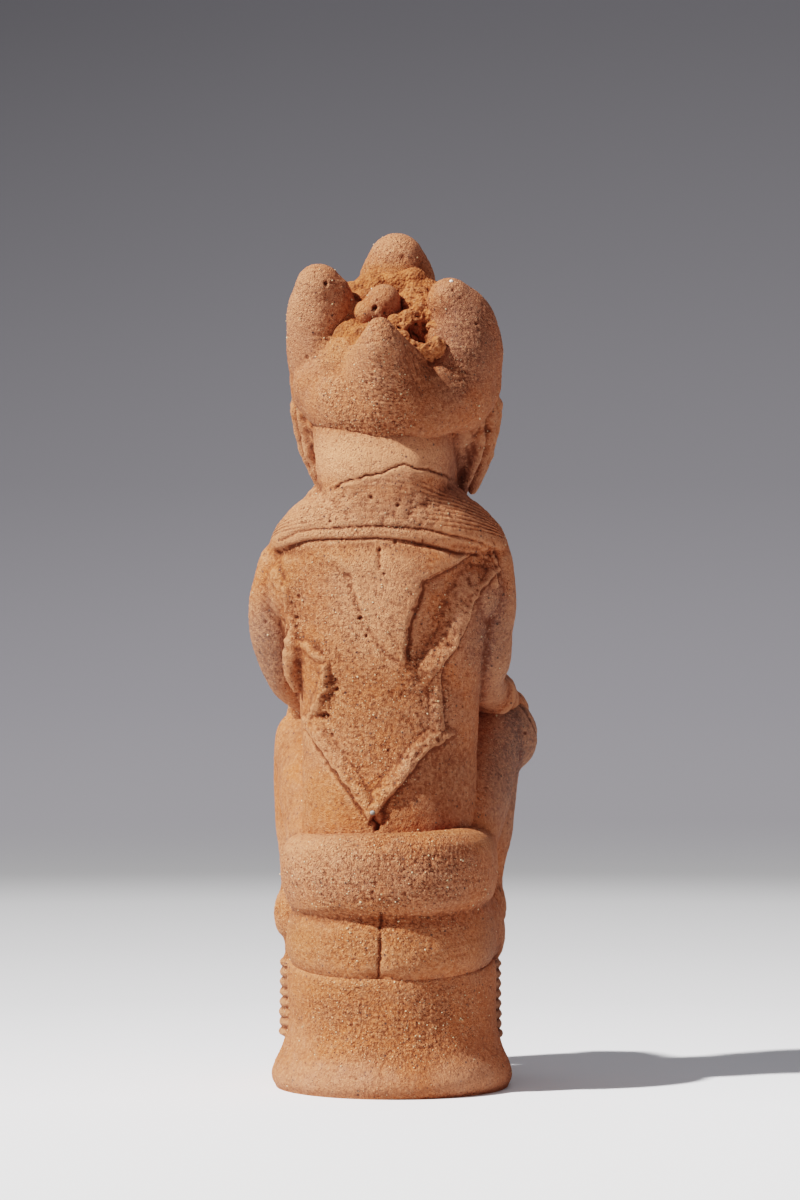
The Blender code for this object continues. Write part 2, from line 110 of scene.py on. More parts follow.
def limb(clay, stations, steps=6):
    # a smooth tube through stations, each a point and a radius
    points = [Vector(point) for point, radius in stations]
    radii = [radius for point, radius in stations]
    path = []
    for index in range(len(points) - 1):
        before = points[max(index - 1, 0)]
        start, end = points[index], points[index + 1]
        after = points[min(index + 2, len(points) - 1)]
        for step in range(steps):
            t = step / steps
            squared = (2 * before - 5 * start + 4 * end - after) * t * t
            cubed = (3 * start - before - 3 * end + after) * t * t * t
            bend = 0.5 * ((2 * start) + (end - before) * t + squared + cubed)
            ease = t * t * (3 - 2 * t)
            path.append((bend, radii[index] * (1 - ease) + radii[index + 1] * ease))
    path.append((points[-1], radii[-1]))
    for (start, startRadius), (end, endRadius) in zip(path, path[1:]):
        knuckle(clay, start, end, startRadius, endRadius)
    for point, radius in path:
        ball(clay, point, (radius, radius, radius), across=20)


def limbIn(clay, place, stations, steps=6):
    # the same, with its points in the frame that place reads
    limb(clay, [(place(*point), radius) for point, radius in stations], steps)


def loft(clay, sections, around=64, lean=0.0):
    # a closed body through rounded sections: centre, half width, half depth, squareness, tilt
    rings = []
    pivot = Vector(sections[len(sections) // 2][0])
    leaning = Matrix.Rotation(lean, 3, "Y")
    for centre, halfWidth, halfDepth, squareness, tilt in sections:
        turn = Matrix.Rotation(tilt, 3, "X")
        ring = []
        for step in range(around):
            angle = 2 * math.pi * step / around
            cosine, sine = math.cos(angle), math.sin(angle)
            x = halfWidth * mm * math.copysign(abs(cosine) ** (2 / squareness), cosine)
            y = halfDepth * mm * math.copysign(abs(sine) ** (2 / squareness), sine)
            place = Vector(centre) + turn @ Vector((x, y, 0.0))
            ring.append(clay.verts.new(pivot + leaning @ (place - pivot)))
        rings.append(ring)
    for lower, upper in zip(rings, rings[1:]):
        for step in range(around):
            after = (step + 1) % around
            clay.faces.new((lower[step], lower[after], upper[after], upper[step]))
    clay.faces.new(list(reversed(rings[0])))
    clay.faces.new(rings[-1])


def takeIn(clay, thing):
    mesh = finished(thing)
    mesh.transform(thing.matrix_world)
    clay.from_mesh(mesh)
    bpy.data.objects.remove(thing, do_unlink=True)
    bpy.data.meshes.remove(mesh)


def ringRoll(clay, centre, halfWidth, halfDepth, thickness, height, tilt=0.0, lean=0.0):
    core = (halfWidth + halfDepth) / 2 - thickness
    bpy.ops.mesh.primitive_torus_add(major_segments=72, minor_segments=20, major_radius=core * mm,
                                     minor_radius=thickness * mm)
    ring = bpy.context.active_object
    ring.scale = (halfWidth / (core + thickness), halfDepth / (core + thickness), height / (2 * thickness))
    ring.rotation_euler = (tilt, lean, 0.0)
    ring.location = centre
    takeIn(clay, ring)


def turned(clay, profile, steps=96):
    outline = bpy.data.meshes.new("outline")
    edges = [(index, index + 1) for index in range(len(profile) - 1)]
    outline.from_pydata([(radius * mm, 0.0, height * mm) for radius, height in profile], edges, [])
    body = putInScene("outline", outline)
    spun = body.modifiers.new("spun", "SCREW")
    spun.steps = steps
    spun.render_steps = steps
    spun.use_merge_vertices = True
    spun.merge_threshold = 0.00001
    takeIn(clay, body)


def skinOf(clay, name, voxel, wiping):
    # one skin round everything laid together, the joins wiped soft, then made twice as fine
    bmesh.ops.recalc_face_normals(clay, faces=clay.faces)
    lump = putInScene(name, meshOf(clay, name))
    skin = lump.modifiers.new("skin", "REMESH")
    skin.mode = "VOXEL"
    skin.voxel_size = voxel * mm
    wiped = lump.modifiers.new("wiped", "SMOOTH")
    wiped.factor = 0.5
    wiped.iterations = wiping
    finer = lump.modifiers.new("finer", "SUBSURF")
    finer.levels = 1
    finer.render_levels = 1
    made = finished(lump)
    bpy.data.objects.remove(lump, do_unlink=True)
    return made


# Reading and moving a skin's points

def lookFromBehind(points):
    # millimetre points to pixels of the photo
    sine, cosine = math.sin(view["turn"]), math.cos(view["turn"])
    toward = -points[:, 0] * sine + points[:, 1] * cosine
    nearer = view["distance"] / (view["distance"] - toward)
    across = nearer * (-points[:, 0] * cosine - points[:, 1] * sine)
    up = view["eyeHeight"] + nearer * (points[:, 2] - view["eyeHeight"])
    return view["centreX"] + across / view["mmPerPixel"], view["floorY"] - up / view["mmPerPixel"]


def readVectors(mesh, field):
    values = np.empty(len(mesh.vertices) * 3, np.float32)
    mesh.vertices.foreach_get(field, values)
    return values.reshape(-1, 3)


def readSkin(mesh):
    points = readVectors(mesh, "co").astype(np.float64) / mm
    normals = readVectors(mesh, "normal").astype(np.float64)
    pixelX, pixelY = lookFromBehind(points)
    # 1 where the skin faces backwards, fading out before the front half
    behind = np.clip(normals[:, 1] * 2.5, 0.0, 1.0)
    behind *= np.clip((points[:, 1] + 12.0) / 10.0, 0.0, 1.0)
    # a slight shake keeps the carved lines from running too evenly
    shakenX = pixelX + 1.0 * swell(points, 5.2, 51) + 0.9 * swell(points, 2.1, 53)
    shakenY = pixelY + 1.0 * swell(points, 5.2, 55) + 0.9 * swell(points, 2.1, 57)
    count = len(points)
    return {"points": points, "normals": normals, "x": pixelX, "y": pixelY, "behind": behind,
            "shakenX": shakenX, "shakenY": shakenY, "lift": np.zeros(count), "count": count}


def settle(mesh, skin):
    points = (skin["points"] + skin["normals"] * skin["lift"][:, None]) * mm
    mesh.vertices.foreach_set("co", points.astype(np.float32).ravel())
    mesh.update()


def hashed(ix, iy, iz, seed):
    mixed = ix * np.uint32(374761393) + iy * np.uint32(668265263) + iz * np.uint32(2246822519)
    mixed = mixed + np.uint32(seed * 3266489917 % 4294967296)
    mixed = (mixed ^ (mixed >> np.uint32(15))) * np.uint32(2246822519)
    mixed = (mixed ^ (mixed >> np.uint32(13))) * np.uint32(3266489917)
    return (mixed ^ (mixed >> np.uint32(16))).astype(np.float64) / 4294967295.0


def swell(points, size, seed):
    # smooth rolling noise from -1 to 1 with lumps about one size across
    scaled = points / size + 517.3
    cell = np.floor(scaled)
    share = scaled - cell
    share = share * share * (3 - 2 * share)
    cell = cell.astype(np.int64).astype(np.uint32)
    total = np.zeros(len(points))
    for dx in (0, 1):
        wx = share[:, 0] if dx else 1 - share[:, 0]
        for dy in (0, 1):
            wy = share[:, 1] if dy else 1 - share[:, 1]
            for dz in (0, 1):
                wz = share[:, 2] if dz else 1 - share[:, 2]
                corner = hashed(cell[:, 0] + np.uint32(dx), cell[:, 1] + np.uint32(dy),
                                cell[:, 2] + np.uint32(dz), seed)
                total += wx * wy * wz * corner
    return total * 2 - 1


def grains(points, size, seed, spread=0.6):
    # distance to the nearest scattered grain, in sizes, and that grain's own number from 0 to 1
    scaled = points / size + 311.7
    base = np.floor(scaled - 0.5)
    nearest = np.full(len(points), 9.0)
    owner = np.zeros(len(points))
    for dx in (0, 1):
        for dy in (0, 1):
            for dz in (0, 1):
                cell = base + (dx, dy, dz)
                whole = cell.astype(np.int64).astype(np.uint32)
                gap = np.zeros(len(points))
                for axis in range(3):
                    jitter = hashed(whole[:, 0], whole[:, 1], whole[:, 2], seed + axis)
                    centre = cell[:, axis] + 0.5 + (jitter - 0.5) * spread
                    gap += (scaled[:, axis] - centre) ** 2
                closer = gap < nearest
                nearest = np.where(closer, gap, nearest)
                owner = np.where(closer, hashed(whole[:, 0], whole[:, 1], whole[:, 2], seed + 7), owner)
    return np.sqrt(nearest), owner


def smooth(low, high, value):
    share = np.clip((value - low) / (high - low), 0.0, 1.0)
    return share * share * (3 - 2 * share)


def fromPath(skin, path, reach, steady=False):
    # millimetres from a path drawn on the photo, the side of it, positive to the viewer's right of a path
    # run down, and how far along it, from 0 to 1
    path = np.array(path, float)
    margin = reach / view["mmPerPixel"]
    near = ((skin["x"] > path[:, 0].min() - margin) & (skin["x"] < path[:, 0].max() + margin)
            & (skin["y"] > path[:, 1].min() - margin) & (skin["y"] < path[:, 1].max() + margin)
            & (skin["behind"] > 0))
    away = np.full(skin["count"], 1e3)
    side = np.zeros(skin["count"])
    along = np.zeros(skin["count"])
    chosen = np.nonzero(near)[0]
    if not len(chosen):
        return away, side, along
    x, y = skin["x" if steady else "shakenX"][chosen], skin["y" if steady else "shakenY"][chosen]
    bestGap = np.full(len(chosen), 1e6)
    bestSide = np.zeros(len(chosen))
    bestAlong = np.zeros(len(chosen))
    lengths = np.linalg.norm(np.diff(path, axis=0), axis=1)
    passed = np.concatenate([[0.0], np.cumsum(lengths)])
    for index in range(len(path) - 1):
        x0, y0 = path[index]
        dx, dy = path[index + 1] - path[index]
        squared = max(dx * dx + dy * dy, 1e-9)
        share = np.clip(((x - x0) * dx + (y - y0) * dy) / squared, 0.0, 1.0)
        gap = np.hypot(x - x0 - share * dx, y - y0 - share * dy)
        turn = ((x - x0) * dy - (y - y0) * dx) / math.sqrt(squared)
        closer = gap < bestGap
        bestGap = np.where(closer, gap, bestGap)
        bestSide = np.where(closer, np.sign(turn), bestSide)
        bestAlong = np.where(closer, passed[index] + share * lengths[index], bestAlong)
    away[chosen] = bestGap * view["mmPerPixel"]
    side[chosen] = bestSide
    along[chosen] = bestAlong / passed[-1]
    return away, side, along


def insideOf(skin, outline):
    x, y = skin["shakenX"], skin["shakenY"]
    inside = np.zeros(skin["count"], bool)
    for (x0, y0), (x1, y1) in zip(outline, outline[1:] + outline[:1]):
        crosses = (y0 > y) != (y1 > y)
        inside ^= crosses & (x < (x1 - x0) * (y - y0) / ((y1 - y0) or 1e-9) + x0)
    return inside


def groove(skin, path, depth, width, taper=0.0, steady=False):
    away, _, along = fromPath(skin, path, width * 3.2, steady)
    mark = np.exp(-(away / width) ** 2) * skin["behind"]
    if taper:
        mark = mark * (smooth(0.0, taper, along) * smooth(0.0, taper, 1 - along))
    skin["lift"] -= depth * mark


def ridge(skin, path, height, left, right, taper=0.0, crest=None, flat=0.0):
    # left and right are how far each flank reaches, to the viewer's left and right of a path run down,
    # and flat is the share of that reach that stays level
    away, side, along = fromPath(skin, path, max(left, right) * 1.2)
    reach = np.where(side > 0, right, left)
    flank = np.clip((1.06 - away / reach) / (1 - flat), 0.0, 1.0)
    if taper:
        flank = flank * smooth(0.0, taper, along) * smooth(0.0, taper, 1 - along)
    if crest is not None:
        flank = flank * (0.9 + 0.22 * crest)
    return height * flank * skin["behind"]


def patch(skin, x, y, halfWidth, halfHeight, edge=0.45):
    # a soft oval on the photo, 1 inside and 0 outside
    far = np.hypot((skin["x"] - x) / halfWidth, (skin["y"] - y) / halfHeight)
    return (1 - smooth(1 - edge, 1 + edge, far)) * (skin["normals"][:, 1] > 0)


def pit(skin, x, y, radius, depth, squash=1.0):
    far = np.hypot(skin["x"] - x, (skin["y"] - y) * squash) * view["mmPerPixel"]
    mark = (1 - smooth(0.35, 1.0, far / radius)) * skin["behind"]
    skin["lift"] -= depth * mark


# The masses. Sections run upwards: height, middle, half width, half depth, squareness

drum = {"seatHeight": 51.0, "radius": 45.5, "flare": 7.8, "footHeight": 25.5, "edgeRound": 2.7, "sunk": 4.0}
anklets = {"first": 19.0, "pitch": 4.5, "thickness": 2.1, "count": 8, "garter": 9.2,
           "places": ((math.radians(48.0), 11.2), (math.radians(-39.5), 3.5))}  # turn round the drum, gap
seatLine = {"slope": 0.085, "from": 46.0, "most": 50.0, "fadeIn": (32.0, 50.0), "fadeOut": (56.0, 80.0),
            "edge": (48.5, 52.0)}


def drumSeat(clay):
    radius, flare, edge = drum["radius"], drum["flare"], drum["edgeRound"]
    foot, top = drum["footHeight"], drum["seatHeight"]
    outer = radius + flare
    rim = outer - edge
    turned(clay, [(0.0, top), (radius - 1.6, top), (radius - 0.3, top - 0.9), (radius, top - 4),
                  (radius, foot + 0.25 * (top - foot)), (radius + 0.08 * flare, foot),
                  (radius + 0.42 * flare, foot * 0.66), (radius + 0.78 * flare, foot * 0.43),
                  (outer, foot * 0.25), (outer - 0.12 * edge, foot * 0.12), (rim, 0.0),
                  (rim, -drum["sunk"]), (0.0, -drum["sunk"])])


def raiseSeatLine(skin):
    # the line between hips and drum rises towards the front
    points = skin["points"]
    band = smooth(*seatLine["fadeIn"], points[:, 2]) * (1 - smooth(*seatLine["fadeOut"], points[:, 2]))
    band *= 1 - smooth(*seatLine["edge"], np.hypot(points[:, 0], points[:, 1]))
    points[:, 2] += seatLine["slope"] * np.clip(seatLine["from"] - points[:, 1], 0.0, seatLine["most"]) * band


def ankles():
    # left and right, on the floor beside the drum
    places = []
    for angle, clear in anklets["places"]:
        reach = drum["radius"] + clear
        places.append(at(reach * math.sin(angle), -reach * math.cos(angle), 0.0))
    return places


def hipsAndRoll(clay):
    hips = [(46, 1, 41, 42, 2.1), (50, 1, 43, 43.4, 2.1), (53, 1, 44.6, 45.2, 2.15), (56, 1, 45.6, 46.2, 2.2),
            (62, 1, 46, 46.6, 2.25), (72, 1, 45.2, 45.5, 2.2), (84, 1, 42, 41, 2.2), (98, 2, 38, 33, 2.2)]
    loft(clay, [(at(0, cy, z), w, d, p, 0.0) for z, cy, w, d, p in hips])
    for side in (1, -1):
        ball(clay, at(side * 35, -20, 66), (13, 24, 20))
    roll = [(76.5, 36), (78.5, 41), (82, 44.6), (88, 46.7), (95, 47.5), (102, 47.3), (107.5, 46), (111, 43),
            (113, 38)]
    loft(clay, [(at(0, 7.5, z), w, w - 1.2, 2.15, 0.0) for z, w in roll], lean=math.radians(2.5))
    # the lap, under the belly
    ball(clay, at(0, -16, 112), (36, 17, 22))


# from the hip over the knee to the shin, then the garter's half width and height
thighs = (
    ([((22, 4, 94), 22), ((32, -16, 120), 19.5), ((41, -34, 144), 16), ((44, -42, 150), 14.5),
      ((44.6, -43.5, 134), 14.6), ((44.4, -43.5, 114), 14), ((43.5, -42, 95), 12.8)], 15.6, 72.5),
    ([((-21, 4, 94), 22), ((-30, -16, 122), 19.5), ((-38, -32, 147), 16), ((-42, -40, 156), 14),
      ((-39, -42, 138), 13.6), ((-37, -42.5, 112), 12.6), ((-34, -41.5, 92), 11.6)], 13.6, 76),
)


def foot(clay, ankle):
    toes = Vector((ankle.x * 0.95, ankle.y - 26 * mm, 4.5 * mm))
    limb(clay, [(Vector((ankle.x, ankle.y, 9 * mm)), 11.5), (toes, 9)], steps=4)
    for toe in range(5):
        spread = (toe - 2) * 3.8 * mm
        root = toes + Vector((spread, -1 * mm, 1 * mm))
        limb(clay, [(root, 3.4), (root + Vector((spread * 0.15, -9.5 * mm, -1 * mm)), 3.1)], steps=3)


def legs(clay):
    for ankle, (upper, garter, band) in zip(ankles(), thighs):
        stations = [(at(*point), radius) for point, radius in upper]
        waist = stations[-1][0]
        top = (anklets["first"] + anklets["pitch"] * (anklets["count"] + 1)) * mm
        over = Vector((ankle.x * 0.6 + waist.x * 0.4, ankle.y * 0.6 + waist.y * 0.4, top))
        stations.append((over, 11))
        stations.append((Vector((ankle.x, ankle.y, anklets["first"] * mm)), 10.5))
        stations.append((Vector((ankle.x, ankle.y, 8 * mm)), 10))
        limb(clay, stations)
        centre = Vector((over.x * 0.5 + waist.x * 0.5, over.y * 0.5 + waist.y * 0.5, band * mm))
        ringRoll(clay, centre, garter, garter, anklets["garter"] / 2, anklets["garter"] * 2.3)
        for ring in range(anklets["count"]):
            place = Vector((ankle.x, ankle.y, (anklets["first"] + anklets["pitch"] * ring) * mm))
            girth = 13.5 if ring else 14.2
            ringRoll(clay, place, girth, girth, anklets["thickness"], anklets["thickness"] * 2)
        foot(clay, ankle)
    # the right knee bulges outwards
    ball(clay, at(-48.8, -40, 152.5), (12.2, 13, 16))


def trunk(clay):
    sections = [(80, 1, 3, 39, 32, 2.05), (112, 1, 2, 38.6, 31.5, 2.05), (146, 1, 1, 38.2, 31.4, 2.05),
                (172, 1, 1, 39.8, 32.4, 2.05), (196, 1, 2, 44.5, 34.6, 2.15), (218, 2, 2.5, 48, 36.6, 2.25),
                (230, 2, 3, 47.5, 37.4, 2.25), (238, 1, 3, 46, 37, 2.2), (244, 1, 1, 42, 33.5, 2.2),
                (256, 1, 0, 34, 29, 2.0)]
    loft(clay, [(at(cx, cy, z), w, d, p, 0.0) for z, cx, cy, w, d, p in sections])
    ball(clay, at(0, -18, 128), (33, 17, 38))
    for side, out in ((1, 41), (-1, 36)):
        ball(clay, at(side * 17, -25, 209), (19, 7.5, 14))
        ball(clay, at(side * out, 3, 219), (16, 20, 20))
    # the navel
    ball(clay, at(0, -34, 122), (3.2, 2.4, 3.2))


collar = {"slope": math.radians(8.0), "strand": 4.0, "pitch": 2.3, "from": 239.0, "to": 265.0}


def collarMass(clay):
    sections = [(233, 47, 34), (235, 52.4, 39.8), (238, 52.6, 40.4), (245, 49.5, 40.4), (252, 43.5, 39.5),
                (257, 36.5, 38.2), (262, 32, 37)]
    loft(clay, [(at(1, 1, z), w, d, 2.15, collar["slope"]) for z, w, d in sections])
    ringRoll(clay, at(1, 1, 235.2), 53.4, 40.8, collar["strand"] / 2, collar["strand"], tilt=collar["slope"])


def arms(clay):
    left = [((47, 4, 228), 12), ((51, 1, 213), 12.4), ((51.2, -1, 200), 12.2), ((49, -4, 188), 11.3),
            ((45.5, -8, 178), 10), ((38.5, -13, 171), 9), ((39, -28, 168), 8.8), ((43, -41, 165.5), 9)]
    right = [((-42, 4, 229), 12), ((-43.5, 1, 213), 12), ((-42, -1, 199), 11.2), ((-41.5, -4, 188), 11),
             ((-39.5, -10, 178.5), 9.3), ((-41, -24, 173), 8.6), ((-44.5, -36, 169), 8.6)]
    for stations in (left, right):
        limbIn(clay, at, stations)
    for x, y, z in ((44, -46, 161), (-46.5, -45, 164)):
        ball(clay, at(x, y, z), (10, 9, 10))
        for finger in range(4):
            spread = (finger - 1.5) * 4.6
            limbIn(clay, at, [((x + spread, y - 5, z + 2), 2.7), ((x + spread * 1.03, y - 9.5, z - 4), 2.5),
                              ((x + spread * 1.05, y - 11.5, z - 12), 2.3)], 3)
    # three thin rings round each wrist
    for x, y, z, girth in ((40.5, -32, 167.5, 10.6), (-42.3, -29, 171.5, 10.2)):
        for ring in (-3.2, 0.0, 3.2):
            ringRoll(clay, at(x, y + ring, z - ring * 0.14), girth, girth, 1.5, 3.4, tilt=math.radians(82))


tassel = {"stalk": [((39.6, 18.2, 199.5), 2.7), ((41.2, 18.6, 195.2), 3.6), ((42.5, 17.6, 187.5), 3.7)],
          "bands": [((41.2, 18.6, 195.2), 4.1), ((42.2, 18.2, 189.8), 4.0)],
          "tail": [((42.6, 17.4, 186.8), 4.0), ((42.8, 16.0, 181.5), 3.4), ((41.0, 14.0, 174.0), 1.9)],
          "tilt": math.radians(-8), "lean": math.radians(-12)}


def armpitTassel(clay):
    limbIn(clay, at, tassel["stalk"], 3)
    for place, girth in tassel["bands"]:
        ringRoll(clay, at(*place), girth + 0.6, girth + 0.4, 1.3, 3.4, tassel["tilt"], tassel["lean"])
    limbIn(clay, at, tassel["tail"], 4)


headFrame = {"tilt": math.radians(-14.0), "centre": (-0.4, -9.0, 300.0)}
crownFrame = {"tilt": math.radians(-30.0), "centre": (-2.2, 0.0, 303.0)}
strands = {"count": 6, "first": 46.0, "step": 14.5, "radius": 2.9}


def tilted(own, x, y, up):
    place = Matrix.Rotation(own["tilt"], 3, "X") @ Vector((x, y, up))
    centre = own["centre"]
    return at(centre[0] + place.x, centre[1] + place.y, centre[2] + place.z)


def onHead(x, front, up):
    return tilted(headFrame, x, -front, up)


def onCrown(x, back, up):
    return tilted(crownFrame, x, back, up)


def headMass(clay):
    neck = [(238, 1, 3, 31, 29.5), (250, 1, 3, 31, 38.2), (259, 1, 4, 30, 38.6), (267, 1, 5, 30, 38.5),
            (275, 1.5, 5, 30.5, 38.6), (283, 2, 5, 31, 37), (292, 2, 4, 32, 33)]
    loft(clay, [(at(cx, cy, z), w, d, 2.7, 0.0) for z, cx, cy, w, d in neck])
    skull = [(-46, 8, 20, 15, 2.0), (-38, 7, 29, 23, 2.1), (-26, 4, 36.5, 31, 2.2), (-12, 1, 41.5, 36, 2.2),
             (4, -1, 43.5, 38, 2.2), (18, -3, 42.5, 38, 2.2), (27, -4, 36, 32.5, 2.1), (33, -5, 25, 21, 2.0)]
    loft(clay, [(onHead(0, front, up), w, d, p, headFrame["tilt"]) for up, front, w, d, p in skull])
    for side in (-1, 1):
        # brow, eye, wing of the nose, ear, ear lobe and cheek
        limbIn(clay, onHead, [((side * 4.5, 37.5, 11.5), 1.9), ((side * 15, 37, 15.5), 2.2),
                              ((side * 26, 30, 11), 1.7)], 4)
        ball(clay, onHead(side * 15.5, 33.6, 4.5), (9.6, 5.2, 5.6), lean=side * 0.12)
        ball(clay, onHead(side * 5.0, 38.6, -10.2), (3.9, 4.2, 3.4))
        ball(clay, onHead(side * 42.0, 3, 3), (3.4, 7.4, 11.5), turn=side * 0.25)
        ball(clay, onHead(side * 44.0, 2.5, -6.0), (2.8, 4.2, 4.2))
        ball(clay, onHead(side * 19, 27, -11), (14, 9, 15))
    # nose, upper lip, lower lip and chin
    limbIn(clay, onHead, [((0, 36, 11), 2.8), ((0, 39.5, 0), 3.3), ((0, 42.3, -9.5), 4.3)], 4)
    limbIn(clay, onHead, [((-10, 35.6, -19.5), 1.6), ((-4, 39, -18.2), 2.5), ((0, 39.6, -18.8), 2.4),
                          ((4, 39, -18.2), 2.5), ((10, 35.6, -19.5), 1.6)], 3)
    limbIn(clay, onHead, [((-9, 35.4, -23.4), 1.6), ((0, 39, -24.6), 2.8), ((9, 35.4, -23.4), 1.6)], 4)
    ball(clay, onHead(0, 27, -38), (14, 11, 12))
    # strands beside the jaw
    for side in (-1, 1):
        for strand in range(strands["count"]):
            sweep = math.radians(strands["first"] + strand * strands["step"])
            x, front = side * math.sin(sweep), math.cos(sweep)
            limbIn(clay, onHead, [((x * 44.5, front * 36 + 1, 0), strands["radius"]),
                                  ((x * 42, front * 34 + 3, -18), strands["radius"] + 0.1),
                                  ((x * 34, front * 30 + 5, -38), strands["radius"] - 0.4)], 4)


# lobes are points and radii; the bulb is height, half width, half depth; the pyramid has how far back too
crown = {
    "bulb": [(-1.5, 41, 42.4), (1, 43.4, 44.8), (6, 45.2, 45.6), (12, 45.4, 44.8), (18, 43.5, 42.4),
             (24, 39, 38), (28, 34, 34), (31, 25, 25), (32.5, 12, 12)],
    "left": [((26, 0, 6), 21), ((29, 0, 20), 18.5), ((31.3, 0, 37), 15), ((30.9, 0, 53), 10.6)],
    "leftInner": [((28, 0, 26), 15), ((27.6, 0, 40), 13), ((26.4, 0, 49.5), 9.8)],
    "leftValley": [((27, 12, 12), 17), ((17, 15, 24), 14), ((14, 12, 30), 9)],
    "right": [((-27, 0, 6), 19.2), ((-30.2, 0, 20), 18), ((-31.2, 0, 33), 15.2), ((-26, 0, 46), 10.4)],
    "rightBack": [((-26, 11, 8), 19), ((-29, 7.5, 22), 17.5), ((-30, 3, 34), 14.5)],
    "front": [((1.5, -24, 8), 22), ((1.5, -28.5, 22), 21), ((1, -32, 37), 17.6), ((0.6, -33.7, 49.2), 12.7)],
    "pyramid": [(4, 8, 36, 35), (12, 14, 32.5, 31.5), (20, 19.5, 27, 25.6), (30, 26, 18.6, 18.4),
                (40, 32, 12.3, 12), (47, 35.6, 9, 8.6), (52, 37.6, 6.4, 6), (55.3, 38.6, 3.8, 3.6)],
    "knob": [((4.5, -1, 34), 10), ((3.4, -0.5, 46.0), 7.8)],
    "smallKnob": [((6, 1, 40), 8.5), ((10.2, 4.5, 42.4), 6.4)],
}


def crownMass(clay):
    loft(clay, [(onCrown(0, 0, up), w, d, 2.05, crownFrame["tilt"]) for up, w, d in crown["bulb"]])
    for lobe in ("left", "leftInner", "leftValley", "right", "rightBack", "front", "knob", "smallKnob"):
        limbIn(clay, onCrown, crown[lobe])
    tilt = crownFrame["tilt"]
    loft(clay, [(onCrown(0, back, up), w, d, 1.55, tilt) for up, back, w, d in crown["pyramid"]])
    ball(clay, onCrown(0, 37.6, 51.8), (5.6, 5.4, 5.4))


# Surface work shared by all the clay: unevenness of the hand, grit, pits

worn = {"handSize": 17.0, "hand": 0.32, "fingerSize": 7.0, "finger": 0.18, "gritSize": 1.55, "grit": 0.40,
        "fineSize": 1.15, "fine": 0.17, "rollSize": 2.8, "roll": 0.16, "bareSize": 1.9, "bare": 0.30,
        "bareFrom": 0.55, "pitSize": 8.5, "pitDepth": 0.50, "pitChance": 0.62}


def wear(skin, grit):
    points, lift = skin["points"], skin["lift"]
    lift += worn["hand"] * swell(points, worn["handSize"], 3)
    lift += worn["finger"] * swell(points, worn["fingerSize"], 5)
    gap, owner = grains(points, worn["gritSize"], 11)
    bump = np.clip(1 - gap / 0.62, 0.0, 1.0) * (0.35 + 0.65 * owner)
    lift += worn["grit"] * grit * (bump * 1.5 - 0.45)
    lift += worn["fine"] * (0.35 + 0.9 * grit) * swell(points, worn["fineSize"], 17)
    lift += worn["roll"] * grit * swell(points, worn["rollSize"], 23)
    lift += worn["bare"] * np.clip(grit - worn["bareFrom"], 0.0, 1.0) * swell(points, worn["bareSize"], 25)
    gap, owner = grains(points, worn["pitSize"], 29, spread=0.95)
    hole = 1 - smooth(0.05, 0.15 + 0.06 * swell(points, 2.0, 31), gap)
    sunk = (owner > worn["pitChance"]) * hole * (owner * 1.6 - 0.6)
    lift -= worn["pitDepth"] * sunk


